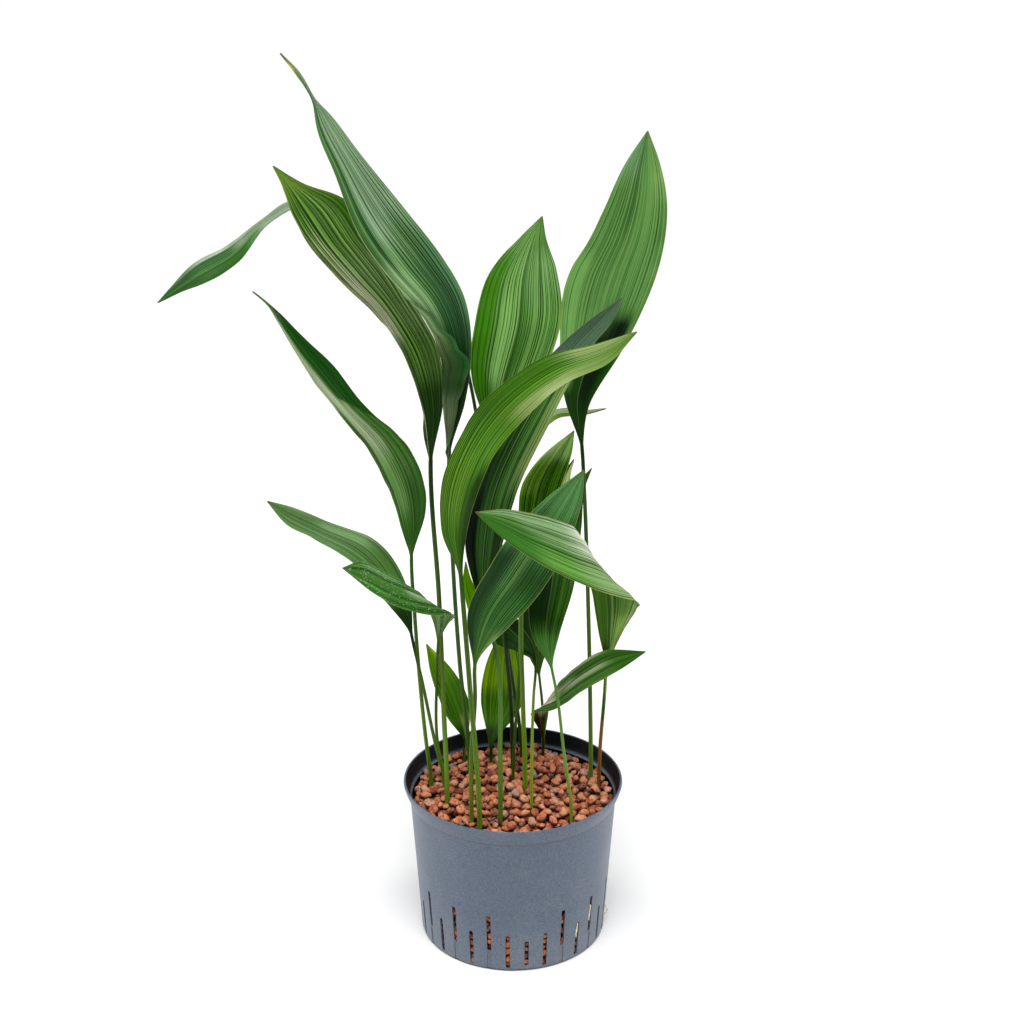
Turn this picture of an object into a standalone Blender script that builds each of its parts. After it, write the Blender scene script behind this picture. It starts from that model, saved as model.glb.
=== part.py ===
"""Potted cast iron plant (Aspidistra elatior) in a slotted culture pot of clay granules.

The pot stands at the origin with its base on z = 0 and its axis on +Z. Lengths are in metres; the rows
that lay out the leaves are in millimetres and go through MM. Every leaf is one node: a blade with the
stalk that it grew on, standing in a plain hole in the granule bed.
"""
import math
import random
from dataclasses import dataclass

import bmesh
import bpy
from mathutils import Matrix, Vector

MM = 0.001

# Pot: a 250 mm culture pot.
RIM_RADIUS = 125.0 * MM
POT_HEIGHT = 189.5 * MM
BASE_RADIUS = 106.3 * MM
WALL = 2.0 * MM
BAND_HEIGHT = 20.0 * MM
BAND_FOOT_RADIUS = RIM_RADIUS - 6.5 * MM
WALL_TOP_RADIUS = RIM_RADIUS - 7.2 * MM
BASE_BLEND = 2.5 * MM
POT_STEPS = 60
BED_STEPS = 40

# Drain slots: alternately low ones that reach the base edge and high ones with a groove below.
SLOT_COUNT = 32
SLOT_WIDTH = 4.8 * MM
HIGH_SLOT = (26.0 * MM, 73.5 * MM)
LOW_SLOT = (3.8 * MM, 48.5 * MM)
SHORT_SLOT_SPAN = (6.8 * MM, 40.5 * MM)
SLOT_PHASE = math.radians(-3.1)
SHORT_SLOT = 1
GROOVE_DEPTH = 0.8 * MM
NOTCH_COUNT = 6
NOTCH_WIDTH = 27.0 * MM
NOTCH_RISE = 2.2 * MM
NOTCH_DEPTH = 5.0 * MM
NOTCH_PHASE = math.radians(7.0)

# Granule bed.
GAP = 0.35 * MM
BED_EDGE_Z = 168.5 * MM
BED_CROWN = 10.0 * MM
BED_RADIUS = 114.4 * MM
PEBBLE_PITCH = 24.0 * MM
PEBBLE_RADIUS = 13.2 * MM
PEBBLE_FIELD_RADIUS = 100.0 * MM
STALK_FOOT_Z = 150.0 * MM
STALK_CLEAR_Z = 184.0 * MM
SEED = 11

# Leaves.
BLADE_COLUMNS = 6
BLADE_THICKNESS = 0.9 * MM
MIDRIB_RISE = 1.1 * MM
MIDRIB_WIDTH = 3.0 * MM
PLEAT_HEIGHT = 0.9 * MM
WAVE_LENGTH = 85.0 * MM
TIP_HALF_WIDTH = 0.7 * MM
STALK_PITCH = 130.0 * MM
STALK_TAPER = 0.8


@dataclass(frozen=True)
class Leaf:
    """One leaf. Rows are millimetres; a rib is (midrib point, half span towards the leaf's right margin)."""

    name: str
    foot: tuple
    stalk: tuple
    ribs: tuple
    tip: tuple
    radius: float = 2.5
    cup: float = 0.22
    wave: float = 2.0
    stations: int = 12
    colour: tuple = (0.060, 0.190, 0.045)


DEEP = (0.045, 0.150, 0.050)
FRESH = (0.110, 0.270, 0.040)
LIME = (0.200, 0.340, 0.020)

LEAVES = (
    Leaf("leaf_01", (-50, 36), ((-60, 20, 323), (-67, 10, 478)),
         (((-68, 0, 586), (2, 0, 1)), ((-62, -6, 639), (11, 0, 1)), ((-59, -16, 703), (16, -2, 4)),
          ((-73, -34, 757), (22, 4, 7)), ((-99, -47, 798), (27, 5, 9)), ((-133, -54, 848), (22, 4, 13)),
          ((-164, -55, 904), (12, 3, 10)), ((-185, -52, 943), (7, 2, 6)), ((-194, -52, 964), (2, 0, 1)),
          ((-210, -51, 991), (2, 1, 1))),
         (-225, -52, 1009), stations=18, colour=DEEP),
    Leaf("leaf_02", (-74, -31), ((-78, 2, 274), (-82, 18, 402)),
         (((-89, 20, 569), (2, 0, 1)), ((-86, 22, 628), (11, 0, 5)), ((-100, 24, 693), (18, 0, 4)),
          ((-112, 24, 716), (19, 0, 5)), ((-128, 25, 741), (20, -1, 6)), ((-151, 26, 772), (26, -2, 9)),
          ((-176, 28, 804), (29, -2, 8)), ((-202, 34, 841), (27, -2, 9)), ((-230, 44, 864), (11, 0, 0))),
         (-249, 48, 881), radius=2.8, stations=14),
    Leaf("leaf_03", (-95, 17), ((-97, 10, 208), (-109, 2, 393)),
         (((-111, -2, 464), (4, 0, 2)), ((-108, -6, 506), (13, -2, 8)), ((-114, -15, 554), (19, -3, 6)),
          ((-138, -27, 607), (17, -3, 9)), ((-168, -35, 643), (14, 1, 3)), ((-197, -43, 685), (10, 5, 7)),
          ((-217, -50, 715), (7, 4, 4)), ((-238, -59, 749), (2, 2, 2)), ((-247, -64, 763), (1, 0, 1))),
         (-261, -68, 777), stations=14),
    Leaf("leaf_04", (-79, 6), ((-88, 0, 231), (-102, -4, 314)),
         (((-113, -2, 371), (3, 0, 1)), ((-116, 2, 389), (4, 2, 8)), ((-128, 12, 410), (10, 6, 9)),
          ((-166, 32, 455), (12, 8, 11)), ((-214, 45, 475), (8, 7, 7)), ((-250, 53, 490), (4, 5, 8))),
         (-274, 58, 505), radius=2.2, stations=13),
    Leaf("leaf_05", (-81, 24), ((-86, 22, 216), (-86, 10, 308)),
         (((-83, -2, 363), (-3, 0, 0)), ((-81, -7, 388), (-9, 1, 4)), ((-84, -18, 412), (-20, 4, 11)),
          ((-107, -32, 427), (-17, 2, 20)), ((-128, -41, 439), (-11, 3, 21)), ((-157, -54, 461), (-6, 2, 17))),
         (-181, -64, 475), radius=2.0, cup=0.1, wave=1.0, stations=15, colour=DEEP),
    Leaf("leaf_06", (10, 73),
         ((-6, 76, 315), (-26, 88, 471), (-48, 96, 634), (-88, 102, 780), (-143, 106, 828)),
         (((-197, 107, 832), (0, 0, 3)), ((-242, 105, 827), (-3, 1, 4)), ((-267, 101, 811), (-3, 1, 3)),
          ((-302, 95, 778), (-7, 3, 8)), ((-341, 86, 756), (-7, 4, 9)), ((-365, 78, 741), (-5, 2, 3))),
         (-384, 74, 728), radius=2.2, stations=12),
    Leaf("leaf_07", (0, 48), ((-3, 40, 273), (-10, 42, 354), (-21, 50, 533)),
         (((-25, 52, 588), (3, 0, 1)), ((-13, 60, 635), (31, 0, -6)), ((5, 72, 704), (47, 0, 3)),
          ((11, 96, 757), (36, 0, 2)), ((22, 122, 789), (14, 0, 0))),
         (32, 142, 808), radius=2.8, wave=1.5, colour=FRESH),
    Leaf("leaf_08", (-37, -82), ((-46, -90, 344), (-53, -86, 448)),
         (((-55, -86, 478), (3, 0, 1)), ((-61, -90, 526), (13, -2, -1)), ((-57, -96, 566), (17, -4, -6)),
          ((-36, -101, 625), (17, -7, -9)), ((-2, -107, 672), (19, -9, -8)), ((45, -112, 709), (13, -10, -9)),
          ((90, -114, 727), (8, -6, -7))),
         (122, -114, 748), radius=3.0, stations=14, colour=FRESH),
    Leaf("leaf_09", (-14, -67), ((-14, -72, 253), (-20, -56, 382)),
         (((-27, -50, 407), (3, 0, 1)), ((-31, -40, 492), (20, -2, 1)), ((-21, -36, 547), (24, -4, 1)),
          ((14, -39, 631), (25, -5, 1)), ((59, -32, 703), (19, -6, 3)), ((92, -33, 739), (10, -3, -1))),
         (111, -36, 762), radius=2.8, stations=14, colour=DEEP),
    Leaf("leaf_10", (90, 24), ((88, 20, 277), (84, 26, 399), (79, 34, 515)),
         (((75, 40, 579), (3, 0, 1)), ((70, 48, 622), (13, 0, -2)), ((85, 62, 679), (34, -2, 1)),
          ((110, 89, 761), (47, -3, 1)), ((123, 99, 791), (41, -2, 1)), ((132, 108, 821), (35, -2, 2)),
          ((140, 123, 871), (18, -1, 0))),
         (145, 132, 903), radius=2.6, wave=1.5, stations=14, colour=FRESH),
    Leaf("leaf_11", (0, 13), ((7, 10, 326), (7, 14, 404), (1, 26, 471)),
         (((-5, 36, 536), (2, 0, 0)), ((20, 55, 588), (6, -1, -7)), ((51, 71, 604), (-2, -1, -6)),
          ((80, 85, 600), (-1, -1, -3))),
         (104, 96, 601), radius=1.9, stations=10, colour=LIME),
    Leaf("leaf_12", (14, -1), ((11, -4, 294), (9, -1, 387)),
         (((11, 2, 444), (3, 0, 0)), ((22, 8, 496), (16, 0, -6)), ((33, 19, 543), (21, -1, -1)),
          ((50, 23, 575), (14, -1, 0))),
         (66, 28, 598), radius=2.9, colour=LIME),
    Leaf("leaf_13", (-46, -71), ((-46, -74, 254), (-41, -74, 330)),
         (((-41, -74, 366), (3, 0, 1)), ((-27, -77, 421), (21, -1, -9)), ((4, -78, 472), (26, -2, -16)),
          ((31, -75, 516), (25, -3, -12)), ((57, -66, 557), (15, -2, -4))),
         (74, -54, 582), radius=2.6, colour=DEEP),
    Leaf("leaf_14", (99, 10), ((99, 3, 216), (103, -6, 303)),
         (((104, -10, 333), (-3, 0, 1)), ((108, -18, 381), (-14, 0, -1)), ((108, -37, 428), (-25, 1, 15)),
          ((92, -81, 486), (-32, -11, 46)), ((61, -99, 506), (-21, -5, 41)), ((17, -116, 532), (-6, -2, 28)),
          ((-13, -129, 552), (0, -1, 15))),
         (-38, -136, 566), radius=2.3, cup=0.1, wave=1.0, stations=17),
    Leaf("leaf_15", (36, 83), (),
         (((36, 76, 199), (-2, 0, 0)), ((32, 64, 233), (-9, 0, -1)), ((33, 48, 256), (-11, -2, -9)),
          ((46, 28, 275), (-5, -4, -14)), ((81, -8, 323), (2, -4, -15)), ((112, -29, 352), (8, -3, -10))),
         (144, -48, 370), radius=2.0, cup=0.12, wave=1.0, stations=14),
    Leaf("leaf_16", (65, -63), ((56, -62, 255), (47, -56, 328)),
         (((42, -51, 352), (2, 0, 1)), ((36, -36, 381), (14, 0, 1)), ((42, -6, 425), (24, 0, 0)),
          ((56, 38, 480), (20, 0, 1)), ((71, 62, 517), (9, 0, 1))),
         (88, 78, 537), radius=1.9, colour=DEEP),
    Leaf("leaf_17", (21, -43), ((21, -40, 233), (23, -26, 307)),
         (((25, -18, 338), (2, 0, 1)), ((11, 33, 342), (6, -3, 12)), ((-14, 65, 354), (8, -1, 24)),
          ((-42, 74, 374), (8, 0, 12)), ((-52, 76, 401), (5, 0, 1))),
         (-54, 80, 423), radius=1.9, colour=LIME),
    Leaf("leaf_18", (36, 98), ((35, 100, 230),),
         (((31, 102, 269), (2, 0, 1)), ((27, 108, 305), (14, 0, 0)), ((31, 122, 373), (20, 0, 3)),
          ((48, 142, 458), (17, 0, 2)), ((63, 156, 505), (5, 0, 1))),
         (71, 160, 519), radius=1.9, stations=11, colour=DEEP),
    Leaf("leaf_19", (-26, 68), (),
         (((-26, 67, 190), (3, 0, 1)), ((-14, 96, 236), (24, 0, -3)), ((-11, 112, 283), (20, 0, 1))),
         (-7, 126, 330), radius=2.4, stations=9, colour=LIME),
    Leaf("leaf_20", (-57, 80), (),
         (((-56, 79, 190), (3, 0, 1)), ((-65, 88, 230), (14, 0, 6)), ((-81, 100, 268), (14, 0, 4))),
         (-102, 112, 305), radius=2.2, stations=9, colour=LIME),
)

PART = bpy.data.collections.new("potted_cast_iron_plant")
TOOLS = bpy.data.collections.new("cutters")


def clear_scene():
    """Remove every object and link the two collections that this script fills."""
    for item in list(bpy.data.objects):
        bpy.data.objects.remove(item, do_unlink=True)
    bpy.context.scene.collection.children.link(PART)
    bpy.context.scene.collection.children.link(TOOLS)


def principled(name, colour, roughness):
    """Return a plain non-metal material."""
    material = bpy.data.materials.new(name)
    material.use_nodes = True
    shader = material.node_tree.nodes["Principled BSDF"]
    shader.inputs["Base Color"].default_value = (*colour, 1.0)
    shader.inputs["Roughness"].default_value = roughness
    shader.inputs["Metallic"].default_value = 0.0
    material.diffuse_color = (*colour, 1.0)
    return material


def add_mesh(name, mesh, collection, material=None):
    """Link a mesh as a new object of a collection."""
    item = bpy.data.objects.new(name, mesh)
    collection.objects.link(item)
    if material:
        mesh.materials.append(material)
    return item


def bmesh_object(name, shape, collection, material=None):
    """Turn a bmesh into an object with outward faces."""
    bmesh.ops.recalc_face_normals(shape, faces=shape.faces)
    mesh = bpy.data.meshes.new(name)
    shape.to_mesh(mesh)
    shape.free()
    return add_mesh(name, mesh, collection, material)


def turned(name, profile, collection, material=None, steps=POT_STEPS):
    """Screw a profile of (radius, height) points about Z; its ends lie on the axis."""
    mesh = bpy.data.meshes.new(name)
    points = [(radius, 0.0, height) for radius, height in profile]
    mesh.from_pydata(points, [(i, i + 1) for i in range(len(points) - 1)], [])
    item = add_mesh(name, mesh, collection, material)
    screw = item.modifiers.new("turn", "SCREW")
    screw.steps = steps
    screw.render_steps = steps
    screw.use_merge_vertices = True
    screw.merge_threshold = 0.00005
    screw.use_smooth_shade = True
    return item


def cut(item, cutter, solver="EXACT"):
    """Take a cutter out of an item and hide the cutter."""
    cutter.hide_render = True
    cutter.display_type = "WIRE"
    boolean = item.modifiers.new("cut", "BOOLEAN")
    boolean.operation = "DIFFERENCE"
    boolean.solver = solver
    boolean.object = cutter


def wall_radius(height):
    """Outer radius of the tapered wall at a height."""
    top = POT_HEIGHT - BAND_HEIGHT
    return BASE_RADIUS + (WALL_TOP_RADIUS - BASE_RADIUS) * height / top


# --- pot -------------------------------------------------------------------------------------------

def pot_profile():
    """Inner face from the middle of the floor up to the rim, then the outer face down to the base."""
    band_foot = POT_HEIGHT - BAND_HEIGHT
    inner = [
        (0.0, WALL),
        (BASE_RADIUS - WALL - 1.5 * MM, WALL),
        (wall_radius(WALL + 2.0 * MM) - WALL, WALL + 2.0 * MM),
        (WALL_TOP_RADIUS - WALL, band_foot),
        (BAND_FOOT_RADIUS - 0.6 * MM, band_foot + 2.6 * MM),
        (RIM_RADIUS - 4.4 * MM, POT_HEIGHT - 10.0 * MM),
        (RIM_RADIUS - 2.6 * MM, POT_HEIGHT - 0.8 * MM),
        (RIM_RADIUS - 1.9 * MM, POT_HEIGHT),
    ]
    outer = [
        (RIM_RADIUS - 1.3 * MM, POT_HEIGHT),
        (RIM_RADIUS - 0.2 * MM, POT_HEIGHT - 0.8 * MM),
        (RIM_RADIUS, POT_HEIGHT - 2.4 * MM),
        (RIM_RADIUS - 2.4 * MM, POT_HEIGHT - 10.0 * MM),
        (RIM_RADIUS - 5.2 * MM, band_foot + 3.2 * MM),
        (BAND_FOOT_RADIUS, band_foot + 0.6 * MM),
        (WALL_TOP_RADIUS, band_foot),
        (wall_radius(BASE_BLEND), BASE_BLEND),
        (BASE_RADIUS - 0.7 * MM, 0.7 * MM),
        (BASE_RADIUS - BASE_BLEND, 0.0),
        (0.0, 0.0),
    ]
    return inner + outer


def slot_angle(index):
    """Azimuth of a slot, counted to the right from the front."""
    return SLOT_PHASE + index * math.tau / SLOT_COUNT - math.pi / 2


def is_low(index):
    """Even slots reach the base edge."""
    return index % 2 == 0


def slot_span(index):
    """Bottom and top heights of a slot."""
    if index == SHORT_SLOT:
        return SHORT_SLOT_SPAN
    return LOW_SLOT if is_low(index) else HIGH_SLOT


def stadium_prism(shape, width, low, high, near, far, place, arc_steps=2):
    """Add an upright round-ended prism that runs from near to far along local X."""
    radius = width / 2
    outline = []
    for centre, start in ((high - radius, 0.0), (low + radius, math.pi)):
        for step in range(arc_steps + 1):
            angle = start + math.pi * step / arc_steps
            outline.append((radius * math.cos(angle), centre + radius * math.sin(angle)))
    front = [shape.verts.new(place @ Vector((far, y, z))) for y, z in outline]
    back = [shape.verts.new(place @ Vector((near, y, z))) for y, z in outline]
    shape.faces.new(front)
    shape.faces.new(reversed(back))
    for i in range(len(outline)):
        j = (i + 1) % len(outline)
        shape.faces.new((front[i], back[i], back[j], front[j]))


def slot_cutter():
    """All slots as one cutter."""
    shape = bmesh.new()
    for index in range(SLOT_COUNT):
        low, high = slot_span(index)
        place = Matrix.Rotation(slot_angle(index), 4, "Z")
        near = BASE_RADIUS - 8.0 * MM
        stadium_prism(shape, SLOT_WIDTH, low, high, near, RIM_RADIUS, place)
    return bmesh_object("slot_cutter", shape, TOOLS)


def groove_cutter():
    """Shallow upright grooves under the high slots, down to the base edge."""
    shape = bmesh.new()
    lean = math.atan2(WALL_TOP_RADIUS - BASE_RADIUS, POT_HEIGHT - BAND_HEIGHT)
    for index in range(SLOT_COUNT):
        if is_low(index) or index == SHORT_SLOT:
            continue
        top = slot_span(index)[0] - 1.5 * MM
        tall = top + 2.0 * MM
        place = (
            Matrix.Rotation(slot_angle(index), 4, "Z")
            @ Matrix.Translation((BASE_RADIUS, 0.0, 0.0))
            @ Matrix.Rotation(lean, 4, "Y")
            @ Matrix.Translation((2.5 * MM - GROOVE_DEPTH, 0.0, tall / 2 - 2.0 * MM))
        )
        size = Matrix.Diagonal((5.0 * MM, SLOT_WIDTH, tall, 1.0))
        bmesh.ops.create_cube(shape, size=1.0, matrix=place @ size)
    return bmesh_object("groove_cutter", shape, TOOLS)


def notch_cutter():
    """Low arched notches in the base edge that let water out from under the pot."""
    shape = bmesh.new()
    for index in range(NOTCH_COUNT):
        angle = NOTCH_PHASE + index * math.tau / NOTCH_COUNT - math.pi / 2
        place = (
            Matrix.Rotation(angle, 4, "Z")
            @ Matrix.Translation((BASE_RADIUS, 0.0, 0.0))
            @ Matrix.Diagonal((NOTCH_DEPTH, NOTCH_WIDTH / 2, NOTCH_RISE, 1.0))
            @ Matrix.Rotation(math.pi / 2, 4, "Y")
        )
        bmesh.ops.create_cone(
            shape, cap_ends=True, segments=10, radius1=1.0, radius2=1.0, depth=1.0, matrix=place
        )
    return bmesh_object("notch_cutter", shape, TOOLS)


def make_pot():
    """Turn the pot and cut its slots, grooves and notches."""
    material = principled("slate_polypropylene", (0.105, 0.125, 0.160), 0.55)
    pot = turned("pot", pot_profile(), PART, material)
    cut(pot, slot_cutter())
    cut(pot, groove_cutter())
    cut(pot, notch_cutter())
    return pot


# --- granule bed -----------------------------------------------------------------------------------

def bed_height(radius):
    """Height of the bed's own surface, a little crowned towards the middle."""
    return BED_EDGE_Z + BED_CROWN * (1.0 - (radius / BED_RADIUS) ** 2)


def bed_profile():
    """The filled volume inside the pot, clear of its wall, from the crown down to the floor."""
    rings = [(0.0, bed_height(0.0)), (BED_RADIUS, BED_EDGE_Z)]
    rings.append((wall_radius(WALL + 2.0 * MM) - WALL - GAP, WALL + 2.3 * MM))
    rings.append((BASE_RADIUS - WALL - 2.2 * MM, WALL + GAP))
    rings.append((0.0, WALL + GAP))
    return rings


def pebble_places(draw):
    """Hexagonal places over the bed, each nudged by the draw, with the outer ring set by angle."""
    places = []
    row_pitch = PEBBLE_PITCH * math.sqrt(3) / 2
    reach = int(PEBBLE_FIELD_RADIUS / row_pitch) + 1
    inner_field = PEBBLE_FIELD_RADIUS - 0.75 * PEBBLE_PITCH
    for row in range(-reach, reach + 1):
        for column in range(-reach, reach + 1):
            x = (column + 0.5 * (row % 2)) * PEBBLE_PITCH + draw.uniform(-2.0, 2.0) * MM
            y = row * row_pitch + draw.uniform(-2.0, 2.0) * MM
            if math.hypot(x, y) < inner_field:
                places.append((x, y))
    ring_count = int(math.tau * PEBBLE_FIELD_RADIUS / PEBBLE_PITCH)
    for step in range(ring_count):
        angle = (step + draw.uniform(-0.12, 0.12)) * math.tau / ring_count
        places.append((PEBBLE_FIELD_RADIUS * math.cos(angle), PEBBLE_FIELD_RADIUS * math.sin(angle)))
    return places


def make_bed():
    """Turn the bed, fuse the top granules to it and drill the stalks' holes."""
    material = principled("fired_clay", (0.330, 0.130, 0.075), 0.85)
    bed = turned("granule_bed", bed_profile(), PART, material, BED_STEPS)
    draw = random.Random(SEED)
    pebbles = bpy.data.collections.new("pebbles")
    bpy.context.scene.collection.children.link(pebbles)
    for x, y in pebble_places(draw):
        radius = math.hypot(x, y)
        size = PEBBLE_RADIUS * draw.uniform(0.88, 1.06)
        shape = bmesh.new()
        place = (
            Matrix.Translation((x, y, bed_height(radius) - 1.8 * MM + draw.uniform(-1.2, 1.0) * MM))
            @ Matrix.Rotation(draw.uniform(0.0, math.tau), 4, "Z")
            @ Matrix.Rotation(draw.uniform(-0.4, 0.4), 4, "X")
            @ Matrix.Diagonal((size, size * 0.90, size * 0.62, 1.0))
        )
        bmesh.ops.create_icosphere(shape, subdivisions=1, radius=1.0, matrix=place)
        bmesh_object("pebble", shape, pebbles)
    fuse = bed.modifiers.new("fuse", "BOOLEAN")
    fuse.operation = "UNION"
    fuse.operand_type = "COLLECTION"
    fuse.collection = pebbles
    fuse.solver = "MANIFOLD"
    bake_modifiers(bed)
    for item in list(pebbles.objects):
        bpy.data.objects.remove(item, do_unlink=True)
    bpy.data.collections.remove(pebbles)
    cut(bed, hole_cutter(), "MANIFOLD")
    return bed


def hole_cutter():
    """Plain holes that the stalks stand in, as one cutter."""
    shape = bmesh.new()
    sides = 12
    for leaf in LEAVES:
        radius = (leaf.radius * MM + GAP) / math.cos(math.pi / sides)
        low = STALK_FOOT_Z - GAP
        high = STALK_CLEAR_Z + 16.0 * MM
        place = Matrix.Translation((leaf.foot[0] * MM, leaf.foot[1] * MM, (low + high) / 2))
        bmesh.ops.create_cone(
            shape, cap_ends=True, segments=sides, radius1=radius, radius2=radius, depth=high - low, matrix=place
        )
    return bmesh_object("hole_cutter", shape, TOOLS)


def bake_modifiers(item):
    """Replace an object's mesh by the one its modifiers make."""
    graph = bpy.context.evaluated_depsgraph_get()
    mesh = bpy.data.meshes.new_from_object(item.evaluated_get(graph))
    item.modifiers.clear()
    item.data = mesh


# --- leaves ----------------------------------------------------------------------------------------

def spline(knots, values, at):
    """Hermite spline through values at uneven knots, read at one place; values are Vectors."""
    last = len(knots) - 1
    span = 0
    while span < last - 1 and at > knots[span + 1]:
        span += 1

    def slope(i):
        if i == 0:
            return (values[1] - values[0]) / (knots[1] - knots[0])
        if i == last:
            return (values[last] - values[last - 1]) / (knots[last] - knots[last - 1])
        before = knots[i] - knots[i - 1]
        after = knots[i + 1] - knots[i]
        backward = (values[i] - values[i - 1]) / before
        forward = (values[i + 1] - values[i]) / after
        return (backward * after + forward * before) / (before + after)

    width = knots[span + 1] - knots[span]
    t = (at - knots[span]) / width
    a = values[span] * (2 * t**3 - 3 * t**2 + 1) + values[span + 1] * (3 * t**2 - 2 * t**3)
    return a + slope(span) * width * (t**3 - 2 * t**2 + t) + slope(span + 1) * width * (t**3 - t**2)


def leaf_controls(leaf):
    """Knots, midrib points, half spans and blade share from the stalk's foot to the tip."""
    x, y = (value * MM for value in leaf.foot)
    points = [Vector((x, y, STALK_FOOT_Z)), Vector((x, y, STALK_CLEAR_Z))]
    points += [Vector(row) * MM for row in leaf.stalk]
    first_rib = len(points)
    points += [Vector(at) * MM for at, _ in leaf.ribs] + [Vector(leaf.tip) * MM]
    spans = [Vector(span) * MM for _, span in leaf.ribs]
    side = spans[0].normalized() * leaf.radius * MM
    tapers = [1.0 - (1.0 - STALK_TAPER) * i / first_rib for i in range(first_rib + 1)]
    spans = [side * taper for taper in tapers] + spans[1:]
    spans.append(spans[-1].normalized() * TIP_HALF_WIDTH)
    share = [0.0] * first_rib + [0.25] + [1.0] * len(leaf.ribs)
    knots = [0.0]
    for before, after in zip(points, points[1:]):
        knots.append(knots[-1] + (after - before).length)
    return knots, points, spans, share, first_rib


def read_share(knots, share, at):
    """Blade share at a place, straight between the knots."""
    for i in range(len(knots) - 1):
        if at <= knots[i + 1]:
            t = (at - knots[i]) / (knots[i + 1] - knots[i])
            return share[i] + (share[i + 1] - share[i]) * t
    return share[-1]


def leaf_places(leaf, knots, first_rib):
    """Places of the rings along a leaf: on the stalk's knots and between far ones, then evenly on the blade."""
    places = [knots[0], knots[1]]
    for before, after in zip(knots[1:first_rib], knots[2:first_rib + 1]):
        rings = max(1, round((after - before) / STALK_PITCH))
        places += [before + (after - before) * (i + 1) / rings for i in range(rings)]
    blade_length = knots[-1] - knots[first_rib]
    places += [knots[first_rib] + blade_length * (i + 1) / leaf.stations for i in range(leaf.stations)]
    return places


def leaf_frames(leaf):
    """Rows of (centre, tangent, half span, blade share, along the blade) from foot to tip."""
    knots, points, spans, share, first_rib = leaf_controls(leaf)
    frames = []
    for at in leaf_places(leaf, knots, first_rib):
        ahead = spline(knots, points, min(at + MM, knots[-1])) - spline(knots, points, max(at - MM, 0.0))
        along = (at - knots[first_rib]) / (knots[-1] - knots[first_rib])
        centre = spline(knots, points, at)
        frames.append([centre, ahead.normalized(), spline(knots, spans, at), read_share(knots, share, at), along])
    side = spans[first_rib].normalized()
    for frame in reversed(frames):
        if frame[3] < 0.5:
            side = (side - frame[1] * side.dot(frame[1])).normalized()
            frame[2] = side * frame[2].length
    return frames, knots[-1] - knots[first_rib]


def leaf_sections(leaf):
    """Rows of middle points with their half thicknesses, from foot to tip."""
    frames, blade_length = leaf_frames(leaf)
    sides = BLADE_COLUMNS + 1
    rows = []
    for centre, tangent, span, blade, along in frames:
        upper = span.cross(tangent).normalized()
        fade = blade * math.sin(math.pi * min(1.0, along)) ** 0.5 if along > 0 else 0.0
        row = []
        for k in range(sides):
            angle = math.pi * (1.0 - (k + 0.5) / sides)
            flat = -1.0 + 2.0 * k / BLADE_COLUMNS
            u = math.cos(angle) * (1.0 - blade) + flat * blade
            lift = leaf.cup * span.length * (abs(flat) ** 1.4 - 0.4) * blade
            lift += PLEAT_HEIGHT * math.cos(3 * math.pi * flat) * fade * min(1.0, span.length / (20 * MM))
            phase = along * blade_length / WAVE_LENGTH * math.tau + (1.9 if flat > 0 else 0.0)
            lift += leaf.wave * MM * math.sin(phase) * flat**2 * fade
            round_half = span.length * math.sin(angle)
            ridge = MIDRIB_RISE * math.exp(-((u * span.length / MIDRIB_WIDTH) ** 2)) * fade
            top_half = round_half * (1.0 - blade) + BLADE_THICKNESS / 2 * blade
            row.append((centre + span * u + upper * lift, top_half, top_half + ridge * blade))
        rows.append(row)
    return rows


def surface_normals(rows):
    """Unit normals of the middle surface, towards the upper face."""
    normals = []
    for i, row in enumerate(rows):
        line = []
        before = rows[max(i - 1, 0)]
        after = rows[min(i + 1, len(rows) - 1)]
        for k in range(len(row)):
            along = after[k][0] - before[k][0]
            across = row[min(k + 1, len(row) - 1)][0] - row[max(k - 1, 0)][0]
            line.append(across.cross(along).normalized())
        normals.append(line)
    return normals


def make_leaf(leaf):
    """Loft one closed leaf: a round stalk that opens into a thin pleated blade."""
    rows = leaf_sections(leaf)
    normals = surface_normals(rows)
    shape = bmesh.new()
    top = []
    under = []
    for row, line in zip(rows, normals):
        top.append([shape.verts.new(p + n * half) for (p, half, _), n in zip(row, line)])
        under.append([shape.verts.new(p - n * half) for (p, _, half), n in zip(row, line)])
    last = BLADE_COLUMNS
    for i in range(len(rows) - 1):
        for face in (top, under):
            for k in range(last):
                a, b = face[i][k], face[i][k + 1]
                c, d = face[i + 1][k + 1], face[i + 1][k]
                shape.faces.new((a, b, c))
                shape.faces.new((a, c, d))
        for k in (0, last):
            shape.faces.new((top[i][k], under[i][k], under[i + 1][k], top[i + 1][k]))
    for i in (0, len(rows) - 1):
        for k in range(last):
            shape.faces.new((top[i][k], top[i][k + 1], under[i][k + 1], under[i][k]))
    material = principled(leaf.name + "_green", leaf.colour, 0.42)
    item = bmesh_object(leaf.name, shape, PART, material)
    item.data.shade_smooth()
    return item


# --- roots -----------------------------------------------------------------------------------------

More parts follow.
